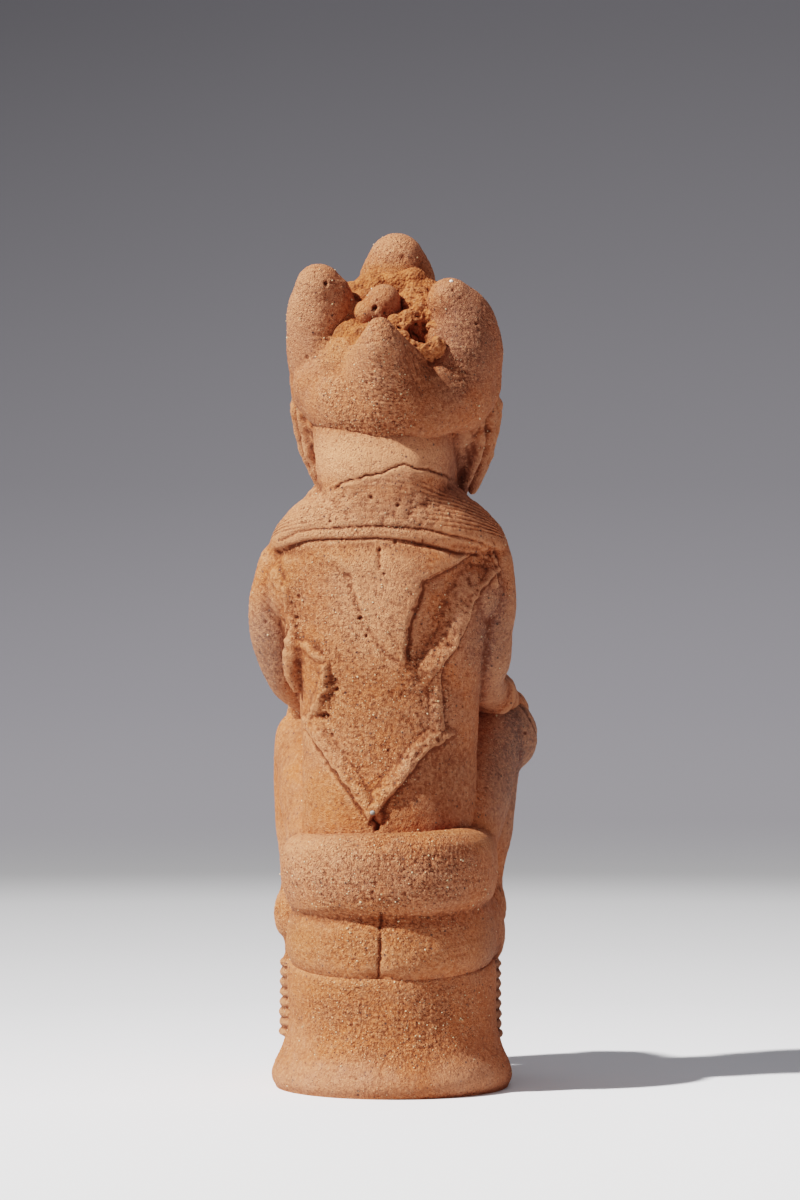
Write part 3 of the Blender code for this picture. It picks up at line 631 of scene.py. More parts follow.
# Soft ovals on the photo, for each finish and each piece: x, y, half width, half height, strength.
# grit is where the skin has gone, smooth where it hasn't, bare the palest skin, coat a grey coat on the left
# arm and painted shade on the shaded right side, and shade painted shade where shadow falls
patches = {
    "grit": {
        "torsoAndHead": [(372, 600, 95, 48, 0.60), (375, 680, 75, 85, 0.80), (378, 770, 55, 55, 0.80),
                         (340, 515, 60, 30, 0.68), (400, 512, 60, 26, 0.68), (440, 700, 14, 40, 0.95),
                         (360, 625, 16, 26, 1.0), (328, 700, 16, 36, 1.1), (430, 640, 18, 45, 0.6),
                         (400, 482, 50, 12, 0.45), (297, 608, 12, 40, 0.9)],
        "hipsAndLegs": [(385, 873, 112, 46, 1.1), (385, 948, 62, 26, 0.85), (440, 925, 50, 14, 0.6),
                        (330, 950, 40, 18, 0.45)],
        "drumSeat": [(385, 1010, 104, 38, 1.0), (395, 1040, 84, 28, 0.9), (460, 1020, 30, 28, 0.7)],
        "coiffure": [(382, 340, 14, 30, 1.1), (384, 385, 28, 36, 1.25), (370, 418, 46, 26, 1.25),
                     (350, 400, 32, 28, 0.95), (330, 345, 22, 30, 0.6), (462, 365, 14, 34, 0.7),
                     (310, 300, 22, 34, 0.6), (420, 420, 30, 18, 0.4), (392, 248, 24, 20, 0.6)],
    },
    "smooth": {
        "torsoAndHead": [(455, 780, 34, 52), (322, 795, 26, 40), (310, 690, 12, 45), (395, 452, 60, 14)],
        "hipsAndLegs": [(300, 780, 26, 60), (500, 830, 20, 60)],
        "drumSeat": [(320, 1075, 60, 16), (430, 1083, 60, 12), (300, 1010, 14, 40)],
        "coiffure": [(430, 395, 18, 26)],
    },
    "soil": {
        "torsoAndHead": [(285, 575, 14, 22, 0.5), (330, 700, 14, 30, 0.7), (375, 810, 30, 24, 0.6),
                         (360, 690, 55, 70, 0.35), (392, 451, 60, 10, 0.5), (345, 560, 55, 14, 0.35),
                         (330, 800, 30, 26, 0.5), (378, 640, 20, 16, 0.4)],
        "hipsAndLegs": [(430, 829, 60, 7, 1.0), (482, 835, 12, 14, 1.0), (300, 945, 24, 22, 0.7),
                        (385, 950, 70, 26, 0.55), (480, 940, 18, 22, 0.5), (340, 909, 60, 8, 0.4)],
        "drumSeat": [(340, 990, 60, 14, 0.45), (385, 1010, 90, 40, 0.3), (300, 1000, 20, 40, 0.3)],
        "coiffure": [(338, 345, 18, 22, 0.75), (352, 318, 12, 18, 0.8), (350, 400, 30, 24, 0.25),
                     (398, 272, 42, 10, 0.8), (430, 372, 16, 26, 0.4)],
    },
    "pink": {
        "torsoAndHead": [(262, 650, 14, 40, 0.8), (440, 715, 16, 30, 0.5), (330, 745, 24, 24, 0.6),
                         (350, 515, 80, 26, 0.9), (370, 600, 44, 46, 0.7), (360, 460, 60, 24, 1.0),
                         (462, 610, 10, 50, 0.7), (415, 765, 20, 20, 0.6), (300, 470, 12, 40, 0.5)],
        "hipsAndLegs": [(320, 865, 50, 34, 0.9), (430, 880, 50, 24, 0.5), (514, 760, 20, 60, 0.7)],
        "drumSeat": [(330, 1078, 64, 20, 1.0), (470, 1080, 34, 14, 0.8), (300, 1050, 20, 30, 0.5)],
        "coiffure": [(305, 320, 30, 60, 0.9), (395, 250, 26, 18, 0.8), (376, 360, 26, 50, 0.7),
                     (455, 285, 18, 12, 0.6), (320, 400, 30, 26, 0.6)],
    },
    # a grey coat on the left arm; on the right arm, leg, knee, nape and crown's right lobe it is painted
    # shade
    "greyCoatAndShade": {
        "torsoAndHead": [(262, 660, 18, 50, 1.0), (494, 640, 22, 60, 0.75), (462, 470, 20, 30, 0.5)],
        "hipsAndLegs": [(514, 770, 26, 70, 0.85), (498, 990, 16, 60, 0.6), (282, 990, 10, 50, 0.3),
                        (520, 735, 24, 50, 1.0)],
        "coiffure": [(468, 335, 28, 48, 0.65), (455, 385, 20, 30, 0.35)],
    },
    "bare": {
        "torsoAndHead": [(365, 458, 66, 20, 1.0), (372, 600, 40, 52, 0.8), (335, 515, 60, 24, 0.5),
                         (352, 612, 5, 14, 0.6), (362, 634, 7, 10, 0.8), (378, 651, 10, 8, 0.8),
                         (394, 664, 10, 6, 0.6), (430, 515, 40, 26, 0.3)],
        "hipsAndLegs": [(320, 850, 44, 26, 0.3)],
        "drumSeat": [(470, 1072, 30, 16, 0.4)],
        "coiffure": [(352, 380, 30, 40, 0.3), (306, 300, 26, 36, 0.3), (392, 245, 24, 18, 0.25)],
    },
    # painted shade: the lower right back, the left arm's underside and the crown's right valley and lobe,
    # darkened where shadow falls
    "shade": {
        "torsoAndHead": [(442, 775, 32, 46, 0.75), (262, 665, 16, 46, 0.3)],
        "coiffure": [(425, 395, 28, 36, 0.6), (412, 350, 12, 30, 0.55), (453, 377, 15, 15, 0.85),
                     (470, 335, 20, 44, 0.45)],
    },
}


def covered(skin, kind, name, edge):
    share = np.zeros(skin["count"])
    for x, y, halfWidth, halfHeight, strength in patches[kind].get(name, []):
        share = np.maximum(share, strength * patch(skin, x, y, halfWidth, halfHeight, edge))
    return share


def gritOver(skin, name):
    blotch = 0.5 + 0.5 * swell(skin["points"], 13.0, 41)
    grit = np.maximum(0.26 + 0.26 * blotch * blotch, covered(skin, "grit", name, 0.55))
    for x, y, halfWidth, halfHeight in patches["smooth"].get(name, []):
        grit *= 1 - 0.55 * patch(skin, x, y, halfWidth, halfHeight)
    return np.clip(grit * (0.75 + 0.45 * blotch), 0.0, 1.25)


# What is carved and broken on the back, as paths on the photo

back = {
    "longRidge": [(494, 560), (495, 571), (487, 580), (477, 590), (471, 603), (466, 617), (461, 632),
                  (454, 647), (443, 660), (437, 670)],
    "lowRidge": [(443, 660), (438, 672), (438, 685), (440, 703), (441, 722), (443, 737)],
    "hook": [(490, 561), (493, 574), (497, 589)],
    "rightV": [(442, 740), (431, 745), (418, 758), (406, 774), (393, 789), (382, 802), (376, 813)],
    "leftV": [(308, 726), (317, 741), (330, 758), (343, 776), (353, 790), (362, 804), (371, 815)],
    "leftVLine": [(304, 729), (313, 744), (326, 762), (339, 780), (349, 794), (358, 808), (368, 820)],
    "leftRidge": [(325, 660), (326, 674), (324, 690), (318, 702), (312, 716), (308, 726)],
    "leftRidgeShade": [(331, 672), (333, 688), (329, 702), (325, 716), (327, 726)],
    "leftShoulder": [(272, 566), (282, 585), (287, 606), (289, 628), (291, 640)],
    "armpitRim": [(300, 640), (308, 648), (318, 657), (326, 663)],
    "flapLeft": [(281, 549), (311, 556), (333, 567), (345, 578), (354, 603), (363, 626), (376, 644),
                 (388, 658), (401, 669), (408, 672)],
    "flapRight": [(477, 552), (463, 560), (445, 571), (423, 581), (420, 592), (413, 610), (407, 630),
                  (406, 648), (406, 670)],
    "recess": [(477, 552), (423, 581), (413, 610), (406, 632), (406, 672), (428, 672), (446, 652),
               (458, 632), (466, 606), (474, 590), (490, 566)],
    "scar": [(284, 552), (291, 640), (308, 649), (325, 660), (308, 726), (330, 758), (353, 790), (374, 815),
             (382, 802), (406, 774), (431, 745), (448, 737), (441, 703), (438, 680), (454, 647), (471, 603),
             (495, 566), (477, 552)],
    "underCollar": [(477, 552), (460, 551), (445, 547), (429, 543), (411, 539), (376, 535), (354, 536),
                    (329, 537), (308, 539), (284, 548)],
    "shortGroove": [(379.5, 545), (379, 558), (380, 572)],
}
collarLines = {
    "upper": [(281, 540), (297, 531.5), (311, 529), (333, 528), (354, 527), (376, 526), (393, 527),
              (406, 527.5), (429, 529.5), (445, 534), (463, 537.5), (478, 542), (492, 548)],
    "lower": [(290, 547), (308, 541.5), (329, 540), (354, 539.5), (376, 538.5), (394, 540), (411, 542.5),
              (429, 546), (445, 549.5), (460, 553.5), (478, 554)],
}
neckCrack = {
    "path": [(335.5, 488.5), (340, 484), (347, 481.5), (354, 479.5), (360, 478.5), (366, 475.5), (374, 475),
             (381, 473.5), (386, 470.5), (394, 467), (404, 465), (412, 467.5), (419, 468.5), (429, 469.5),
             (436, 473), (444, 475.5), (451, 479)],
    "depth": 1.0, "width": 0.62, "lip": 0.42, "lipWidth": 2.4,
}
clefts = {"buttocks": [(381, 917), (380.5, 930), (380, 948), (379, 964), (378.5, 978)],
          "notch": [(375, 818), (377, 824), (377.5, 829)]}
# what stands proud of those paths: height, reach to the left and right, taper, level share, uneven crest
ridges = {"longRidge": (3.2, 8.8, 1.5, 0.0, 0.0, True), "lowRidge": (1.7, 4.6, 1.6, 0.0, 0.3, True),
          "hook": (1.8, 2.2, 1.6, 0.2, 0.0, False), "rightV": (2.5, 6.2, 1.5, 0.0, 0.4, True),
          "leftV": (1.7, 1.3, 5.4, 0.0, 0.5, True), "leftRidge": (1.9, 3.2, 1.8, 0.1, 0.0, True),
          "leftShoulder": (1.5, 3.2, 2.2, 0.15, 0.0, True), "armpitRim": (1.2, 2.2, 2.0, 0.2, 0.0, True)}
# single pits: x, y, radius, depth
pits = {
    "torsoAndHead": [(322, 716, 2.4, 1.6), (331, 735, 1.2, 0.9), (297, 597, 1.3, 0.9), (295, 618, 1.3, 0.8),
                     (295, 627, 1.1, 0.8), (334, 690, 1.6, 1.2), (360, 618, 1.5, 0.9), (366, 636, 1.2, 0.8),
                     (330, 521, 1.1, 0.7), (371, 497, 1.4, 0.8), (398, 505, 1.3, 0.8), (380, 550, 1.2, 0.8),
                     (395, 543, 1.2, 0.8), (423, 541, 1.0, 0.6), (384, 574, 0.9, 0.6)],
    "coiffure": [(326, 283, 1.3, 1.3), (315, 272, 0.8, 0.6), (453, 290, 1.1, 0.8), (307, 357, 1.2, 0.5),
                 (375, 308, 1.5, 1.6), (402, 247, 0.8, 0.4), (403, 258, 1.7, 0.45), (377, 300, 0.9, 0.5),
                 (370, 440, 1.0, 0.6)],
}


def drillPits(skin, name, squash=1.0):
    for x, y, radius, depth in pits[name]:
        pit(skin, x, y, radius, depth, squash)


def breakBack(skin, grit, ragged):
    # inside the scar the skin is gone, and the rims left round it stand proud
    lift, behind = skin["lift"], skin["behind"]
    underCollar = back["underCollar"][1:]
    scar = insideOf(skin, back["scar"] + underCollar) * behind
    rimAway = fromPath(skin, back["scar"], 6.0)[0]
    lift -= 0.55 * scar * smooth(0.0, 3.5, rimAway)
    flap = insideOf(skin, back["flapLeft"] + back["flapRight"][::-1] + underCollar) * behind
    flapLeft = fromPath(skin, back["flapLeft"], 12.0)[0]
    flapRight = fromPath(skin, back["flapRight"], 8.0)[0]
    flap = flap * smooth(0.0, 4.6, flapLeft) * smooth(0.0, 1.1, flapRight)
    flap = flap * (0.25 + 0.75 * smooth(543, 572, skin["y"]))
    lift += (1.75 + 0.25 * ragged) * flap
    recess = insideOf(skin, back["recess"]) * behind
    ridgeAway = fromPath(skin, back["longRidge"], 12.0)[0]
    recess = recess * smooth(0.0, 0.8, flapRight) * smooth(3.0, 12.0, ridgeAway)
    recess = recess * (1 - smooth(648, 672, skin["y"]))
    lift -= (1.5 + 0.03 * np.clip(flapRight, 0, 12)) * recess
    grit *= 1 - 0.45 * recess
    rough = swell(skin["points"], 2.4, 71)
    proud = np.zeros(skin["count"])
    for path, (height, left, right, taper, flat, uneven) in ridges.items():
        crest = rough if uneven else None
        proud = np.maximum(proud, ridge(skin, back[path], height, left, right, taper, crest, flat))
    lift += proud + 0.20 * swell(skin["points"], 1.4, 75) * np.clip(proud, 0.0, 1.0)
    groove(skin, back["leftVLine"], 0.75, 0.75)
    groove(skin, back["leftRidgeShade"], 1.5, 2.2, 0.2)
    groove(skin, [(x + 4, y + 1) for x, y in back["flapRight"][3:]], 1.0, 1.0, 0.15)
    groove(skin, back["shortGroove"], 0.85, 1.0, 0.25)
    return np.maximum(grit, 0.7 * np.clip(proud, 0.0, 1.0))


def carveCollar(skin, ragged):
    # a bottom cord between two grooves, and fine strands that drop towards the shoulders
    points, lift = skin["points"], skin["lift"]
    groove(skin, collarLines["upper"], 0.75, 0.8, steady=True)
    groove(skin, collarLines["lower"], 1.15, 0.9, steady=True)
    level, onCollar = strandLevel(skin)
    wave = 0.5 - 0.5 * np.cos(2 * math.pi * (level - collar["from"]) / collar["pitch"])
    lift += 0.40 * (wave - 0.5) * onCollar * (0.8 + 0.3 * ragged)
    lift += 0.5 * swell(points, 4.0, 79) * patch(skin, 380, 508, 75, 24, 0.5)
    besideJaw = smooth(30.0, 34.0, np.abs(points[:, 0])) * smooth(252.0, 260.0, points[:, 2])
    besideJaw *= points[:, 1] > -20
    lift += besideJaw * (0.7 * swell(points, 5.5, 61) + 0.35 * swell(points, 2.6, 63))


def crackNeck(skin):
    away, side, _ = fromPath(skin, neckCrack["path"], 6.0)
    crack = np.exp(-(away / neckCrack["width"]) ** 2) * skin["behind"]
    skin["lift"] -= neckCrack["depth"] * crack
    lip = np.exp(-(away / neckCrack["lipWidth"]) ** 2)
    skin["lift"] += neckCrack["lip"] * lip * (side < 0) * skin["behind"]


def carveTorso(mesh, name):
    skin = readSkin(mesh)
    points = skin["points"]
    ragged = swell(points, 5.0, 73)
    grit = breakBack(skin, gritOver(skin, name), ragged)
    drillPits(skin, name)
    groove(skin, clefts["notch"], 2.0, 1.1)
    carveCollar(skin, ragged)
    crackNeck(skin)
    # the left arm keeps the strokes of the tool
    stroke = np.sin((skin["x"] * 0.72 - skin["y"] * 0.69) * 1.15 + 2.2 * swell(points, 9.0, 77))
    skin["lift"] += 0.07 * stroke * patch(skin, 266, 615, 20, 42, 0.4)
    faceWork(skin)
    wear(skin, grit)
    settle(mesh, skin)


def strandLevel(skin):
    # how high each point lies on the collar once its slope is taken out, and how well strands are kept there
    points = skin["points"]
    level = points[:, 2].copy()
    for _ in range(3):
        slope = collar["slope"] + math.radians(16.0) * smooth(240.0, 262.0, level)
        level = points[:, 2] + (38.0 - points[:, 1]) * np.tan(slope)
    kept = smooth(244.6, 246.2, level) * (1 - smooth(262.0, 266.0, level)) * (points[:, 2] > 225)
    kept *= smooth(0.62, 0.72, np.hypot((points[:, 0] - 1) / 52.0, points[:, 1] / 39.0))
    lost = 0.85 * patch(skin, 372, 506, 62, 26, 0.6) + 0.6 * patch(skin, 306, 508, 34, 20, 0.6)
    return level, kept * (1 - np.clip(lost, 0, 0.85))


face = {"eye": (15.5, 4.0), "lid": (9.4, 5.4), "nostril": (4.2, 12.6), "earHole": (44.0, -4.0, 3.0),
        "mouth": 21.5}


def faceWork(skin):
    # eyelids, pierced pupils, nostrils and the mouth, on the head's own front
    centre = np.array(headFrame["centre"])
    turn = np.array(Matrix.Rotation(-headFrame["tilt"], 3, "X"))
    local = (skin["points"] - centre) @ turn.T
    x, front, up = local[:, 0], -local[:, 1], local[:, 2]
    lift = skin["lift"]
    ahead = smooth(20.0, 30.0, front) * np.clip(-skin["normals"][:, 1] * 2.0, 0.0, 1.0)
    ahead *= skin["points"][:, 2] > 250
    for side in (-1, 1):
        eyeX, eyeUp = x - side * face["eye"][0], up - face["eye"][1]
        lid = np.abs(np.hypot(eyeX / face["lid"][0], eyeUp / face["lid"][1]) - 1.0) * 6.5
        lift -= 0.85 * np.exp(-(lid / 0.85) ** 2) * ahead
        pupil = np.hypot(eyeX, eyeUp)
        lift -= 2.6 * (1 - smooth(1.2, 2.6, pupil)) * ahead
        nostril = np.hypot(x - side * face["nostril"][0], (up + face["nostril"][1]) * 1.3)
        lift -= 1.6 * (1 - smooth(0.7, 1.9, nostril)) * ahead
        out, deep, high = face["earHole"]
        earHole = np.linalg.norm(local - np.array([side * out, deep, high]), axis=1)
        lift -= 1.8 * (1 - smooth(1.2, 3.0, earHole))
    mouth = np.abs(up + face["mouth"] - 0.002 * x * x)
    lift -= 0.8 * np.exp(-(mouth / 0.8) ** 2) * (1 - smooth(9.0, 12.0, np.abs(x))) * ahead
    # strands of the beard
    for side in (-1, 1):
        for strand in range(3):
            line = np.abs(x - side * (3.0 + 4.2 * strand) + side * 0.08 * (up + 30))
            lift -= 0.5 * np.exp(-(line / 0.9) ** 2) * smooth(27.0, 31.0, -up) * ahead


def carveHips(mesh, name):
    skin = readSkin(mesh)
    points = skin["points"]
    grit = gritOver(skin, name)
    raiseSeatLine(skin)
    depth = 1.1 * (1 + 0.35 * swell(points, 6.0, 87))
    groove(skin, clefts["buttocks"], depth, 0.8)
    groove(skin, clefts["buttocks"], 0.9, 3.8, steady=True)
    groove(skin, [(352, 976), (379, 977), (402, 977)], 0.7, 1.6, 0.4)
    for ankle in ankles():
        near = np.hypot(points[:, 0] - ankle.x / mm, points[:, 1] - ankle.y / mm)
        band = smooth(16.0, 18.0, points[:, 2]) * (1 - smooth(51.0, 53.5, points[:, 2]))
        band *= 1 - smooth(17.0, 19.0, near)
        bead = np.abs(np.cos(math.pi * (points[:, 2] - anklets["first"]) / anklets["pitch"]))
        skin["lift"] += 1.15 * band * (np.sqrt(bead) - 0.72)
    # the crescent on the right knee
    knee = np.linalg.norm(points - np.array([-58.0, -38.0, 157.0]), axis=1)
    outward = np.clip(-skin["normals"][:, 0] * 2, 0, 1)
    arc = np.abs(np.hypot(points[:, 1] + 44.0, points[:, 2] - 161.0) - 9.0)
    skin["lift"] -= 0.9 * np.exp(-(arc / 1.0) ** 2) * outward * (knee < 16) * (points[:, 1] > -44)
    wear(skin, grit)
    skin["lift"] *= smooth(0.0, 3.0, points[:, 2])
    settle(mesh, skin)


def carveDrum(mesh, name):
    skin = readSkin(mesh)
    points = skin["points"]
    grit = gritOver(skin, name)
    raiseSeatLine(skin)
    skin["lift"] += 0.9 * patch(skin, 312, 982, 46, 22, 0.6)
    skin["lift"] += 0.45 * swell(points, 30.0, 61)
    groove(skin, [(384, 1060), (380, 1072), (382, 1088)], 0.3, 0.9, 0.4)
    wear(skin, grit)
    skin["lift"] *= smooth(0.0, 3.0, points[:, 2])
    settle(mesh, skin)


def carveCrown(mesh, name):
    skin = readSkin(mesh)
    points = skin["points"]
    grit = gritOver(skin, name)
    # the back lobe's ridge runs down to the edge, between two valleys
    spine = [(383, 320), (389, 337), (392, 360), (396, 380), (406, 401), (420, 419)]
    skin["lift"] += ridge(skin, spine, 4.0, 22.0, 6.5, 0.26)
    groove(skin, [(411, 332), (419, 348), (428, 364), (438, 378)], 1.8, 6.0, 0.35)
    groove(skin, [(441, 326), (445, 345), (449, 362)], 0.8, 1.6, 0.35)
    groove(skin, [(416, 352), (417.5, 364), (418, 378)], 0.7, 0.8, 0.3)
    drillPits(skin, name, 0.8)
    scratch = swell(points * np.array([0.45, 0.45, 2.2]), 2.6, 83)
    skin["lift"] += 0.28 * scratch * patch(skin, 458, 355, 12, 36, 0.5)
    wear(skin, grit)
    settle(mesh, skin)


# Turning skins into finished pieces

detail = {"most": 195000, "voxel": 1.2, "wiping": 5}


def thin(mesh, name):
    lump = putInScene(name, mesh)
    triangles = sum(len(face.vertices) - 2 for face in mesh.polygons)
    if triangles > detail["most"]:
        fewer = lump.modifiers.new("fewer", "DECIMATE")
        fewer.ratio = detail["most"] / triangles
    made = finished(lump)
    bpy.data.objects.remove(lump, do_unlink=True)
    made.name = name
    return made


def flatFoot(mesh):
    # the underside cut off level at the floor
    body = bmesh.new()
    body.from_mesh(mesh)
    everything = list(body.verts) + list(body.edges) + list(body.faces)
    cut = bmesh.ops.bisect_plane(body, geom=everything, plane_co=(0, 0, 0), plane_no=(0, 0, -1),
                                 clear_outer=True, dist=1e-6)
    rim = [piece for piece in cut["geom_cut"] if isinstance(piece, bmesh.types.BMEdge)]
    bmesh.ops.holes_fill(body, edges=rim, sides=0)
    body.to_mesh(mesh)
    body.free()


def hollows(mesh, points, rounds):
    # how deep each point lies below its wiped neighbourhood, in millimetres
    ends = np.empty(len(mesh.edges) * 2, np.int64)
    mesh.edges.foreach_get("vertices", ends)
    ends = ends.reshape(-1, 2)
    count = len(points)
    share = np.bincount(ends[:, 0], minlength=count) + np.bincount(ends[:, 1], minlength=count)
    share = np.maximum(share, 1)
    wiped = points.copy()
    for _ in range(rounds):
        nextPoints = np.empty_like(wiped)
        for axis in range(3):
            value = wiped[:, axis]
            total = np.bincount(ends[:, 0], weights=value[ends[:, 1]], minlength=count)
            total += np.bincount(ends[:, 1], weights=value[ends[:, 0]], minlength=count)
            nextPoints[:, axis] = 0.4 * value + 0.6 * total / share
        wiped = nextPoints
    return wiped - points


def keep(mesh, name, values):
    attribute = mesh.attributes.new(name, "FLOAT", "POINT")
    attribute.data.foreach_set("value", np.clip(values, 0.0, 1.0).astype(np.float32))


# how much of each stain or painted shade gathers in the hollows
stainsAndShade = {"soil": 0.35, "pink": 0.0, "greyCoatAndShade": 0.0, "bare": 0.0, "shade": 0.0}


def standForFigure(piece):
    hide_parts(figure)
    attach(piece, "root")


def finishPiece(mesh, name, material, grit=None):
    skin = readSkin(mesh)
    near = hollows(mesh, skin["points"], 4)
    far = hollows(mesh, skin["points"], 26)
    near = (near * skin["normals"]).sum(1)
    far = (far * skin["normals"]).sum(1)
    keep(mesh, "hollow", near * 4.5 + np.clip(far, 0, 2) * 0.35)
    keep(mesh, "crest", -near * 4.0 - np.clip(far, -2, 0) * 0.5)
    keep(mesh, "grit", gritOver(skin, name) if grit is None else np.full(skin["count"], grit))
    level, kept = strandLevel(skin)
    keep(mesh, "strandLevel", (level - collar["from"]) / (collar["to"] - collar["from"]))
    keep(mesh, "strandKept", kept * (name == "torsoAndHead"))
    for stainOrShade, gathered in stainsAndShade.items():
        keep(mesh, stainOrShade, covered(skin, stainOrShade, name, 0.7) + gathered * np.clip(far, 0, 1.2))
    mesh.materials.clear()
    mesh.materials.append(material)
    mesh.shade_smooth()
    piece = putInScene(name, mesh)
    standForFigure(piece)
    say(f"{name} has {sum(len(face.vertices) - 2 for face in mesh.polygons)} triangles")
    return piece


# Earth packed hard between the lobes

earth = {
    "seed": 4, "lumps": 190, "voxel": 0.9, "hole": (-14.5, 16.0, 5.4),
    "slab": [(24, 30, 30), (30, 30, 31), (36, 29, 30), (38.4, 25, 27)],
    # a ramp of it lies against the front lobe, with one big clod: across, back, height, size
    "ramp": [(-9, -19, 43.5, 9.0), (0, -20, 43.5, 10), (9, -19, 43.5, 10), (18, -14, 42, 9),
             (-15, -16, 42, 8), (-8, -19, 48.5, 6.0), (18, -6, 40, 8.5), (19, 3, 36.5, 9.5),
             (17, 9, 34.5, 9.5), (16, 4, 36.5, 8), (11, -8, 42, 8.5), (-10, -8, 42, 8.5),
             (-20, 20, 34, 5.5), (-21, 2, 40, 6.5), (-14, -2, 41.5, 7), (-9, 5, 40, 6)],
}


def packedEarth(material):
    clay = bmesh.new()
    loft(clay, [(onCrown(0, -1, up), w, d, 2.0, crownFrame["tilt"]) for up, w, d in earth["slab"]])
    scatter = np.random.default_rng(earth["seed"])
    holeX, holeBack, holeRadius = earth["hole"]
    for _ in range(earth["lumps"]):
        angle = scatter.uniform(0, 2 * math.pi)
        reach = math.sqrt(scatter.uniform(0.0, 1.0))
        x, across = 27 * reach * math.cos(angle), 29 * reach * math.sin(angle) - 1
        size = scatter.uniform(1.8, 4.2)
        up = 39.4 - 0.05 * across + scatter.uniform(-1.6, 1.6)
        if math.hypot(x - holeX, across - holeBack) < holeRadius + size * 0.8 or (x > 13 and across > 3):
            continue
        radii = (size * 1.2, size, size * 0.8)
        ball(clay, onCrown(x, across, up), radii, tilt=scatter.uniform(-1, 1), across=14)
    for x, across, up, size in earth["ramp"]:
        ball(clay, onCrown(x, across, up), (size, size * 0.95, size * 0.75))
    mesh = skinOf(clay, "packedEarth", earth["voxel"], 1)
    skin = readSkin(mesh)
    points = skin["points"]
    gap, owner = grains(points, 2.6, 91)
    crumbly = 0.22 + 0.78 * smooth(388, 400, skin["x"]) * smooth(282, 292, skin["y"])
    skin["lift"] += crumbly * (0.8 * swell(points, 3.4, 93) + 0.65 * swell(points, 1.7, 95))
    skin["lift"] += crumbly * 0.6 * (np.clip(1 - gap, 0, 1) * 1.6 - 0.6) * (0.4 + owner)
    hole = np.array(onCrown(holeX, holeBack, 37.0)) / mm
    depth = 1 - smooth(0.35, 1.0, np.linalg.norm(points - hole, axis=1) / (holeRadius + 2.5))
    skin["lift"] -= 6.0 * depth
    settle(mesh, skin)
    return finishPiece(thin(mesh, "packedEarth"), "packedEarth", material, 1.0)


# Quartz and dark grit set in the surface

def setGrit(clayPieces, name, material, sizes, seed, count, rough):
    # small angular grains, most of them where the skin is rough
    scatter = np.random.default_rng(seed)
    vertices, faces = [], []
    stone = bmesh.new()
    bmesh.ops.create_icosphere(stone, subdivisions=1, radius=1.0)
    shape = np.array([vertex.co for vertex in stone.verts])
    corners = np.array([[vertex.index for vertex in face.verts] for face in stone.faces])
    stone.free()
    total = 0
    for piece, share in clayPieces:
        mesh = piece.data
        points, normals = readVectors(mesh, "co"), readVectors(mesh, "normal")
        gritty = np.empty(len(mesh.vertices), np.float32)
        mesh.attributes["grit"].data.foreach_get("value", gritty)
        weight = (0.05 + gritty ** 2) if rough else np.ones(len(gritty))
        weight = weight * (points[:, 2] > 1.5 * mm)
        chosen = scatter.choice(len(points), int(count * share), p=weight / weight.sum(), replace=False)
        for index in chosen:
            size = mm * (sizes[0] + (sizes[1] - sizes[0]) * scatter.random() ** 2.5)
            squash = scatter.uniform(0.6, 1.15, 3)
            angle = scatter.uniform(0, 6.28)
            axis = Vector(scatter.normal(size=3)).normalized()
            turn = np.array(Matrix.Rotation(angle, 3, axis))
            grain = (shape * squash * scatter.uniform(0.82, 1.12, (len(shape), 1))) @ turn.T * size
            vertices.append(grain + points[index] + normals[index] * size * 0.15)
            faces.append(corners + total)
            total += len(shape)
    mesh = bpy.data.meshes.new(name)
    mesh.from_pydata(np.concatenate(vertices).tolist(), [], np.concatenate(faces).tolist())
    mesh.materials.append(material)
    standForFigure(putInScene(name, mesh))


# x and y on the photo, size and colour
singleStones = {"greyPebble": (372, 812, 1.25, (0.30, 0.28, 0.25, 1)),
                "whiteGrain": (451, 281, 0.9, (0.75, 0.70, 0.62, 1))}


def singleStone(name, piece):
    x, y, size, shade = singleStones[name]
    skin = readSkin(piece.data)
    gap = np.hypot(skin["x"] - x, skin["y"] - y) + 1e3 * (skin["behind"] < 0.2)
    clay = bmesh.new()
    ball(clay, Vector(skin["points"][int(np.argmin(gap))]) * mm, (size, size * 0.8, size * 0.9), across=14)
    mesh = meshOf(clay, name)
    mesh.shade_smooth()
    darker = tuple(part * 0.8 for part in shade[:3]) + (1,)
    mesh.materials.append(grainMaterial(name, darker, shade, 0.6, 0.4))
    standForFigure(putInScene(name, mesh))


# Materials

def addNode(tree, kind, inputs=(), **settings):
    made = tree.nodes.new(kind)
    for key, value in settings.items():
        setattr(made, key, value)
    for key, value in dict(inputs).items():
        if isinstance(value, bpy.types.NodeSocket):
            tree.links.new(value, made.inputs[key])
        else:
            made.inputs[key].default_value = value
    return made


def blank(name, roughness, specular):
    material = bpy.data.materials.new(name)
    material.use_nodes = True
    tree = material.node_tree
    surface = tree.nodes["Principled BSDF"]
    surface.inputs["Roughness"].default_value = roughness
    surface.inputs["Specular IOR Level"].default_value = specular
    return material, tree, surface


def objectPlace(tree):
    return addNode(tree, "ShaderNodeTexCoord").outputs["Object"]


def stored(tree, name):
    # a value kept on the mesh's points
    return addNode(tree, "ShaderNodeAttribute", attribute_name=name).outputs["Fac"]


def blotches(tree, place, scale, detailLevel=4.0, roughness=0.55):
    return addNode(tree, "ShaderNodeTexNoise", {"Vector": place, "Scale": scale, "Detail": detailLevel,
                                                "Roughness": roughness}).outputs["Fac"]


def cellsOf(tree, place, scale):
    return addNode(tree, "ShaderNodeTexVoronoi", {"Vector": place, "Scale": scale, "Randomness": 1.0})


def channel(tree, cells, name):
    # one of the three random numbers of each cell
    return addNode(tree, "ShaderNodeSeparateColor", {"Color": cells.outputs["Color"]}).outputs[name]


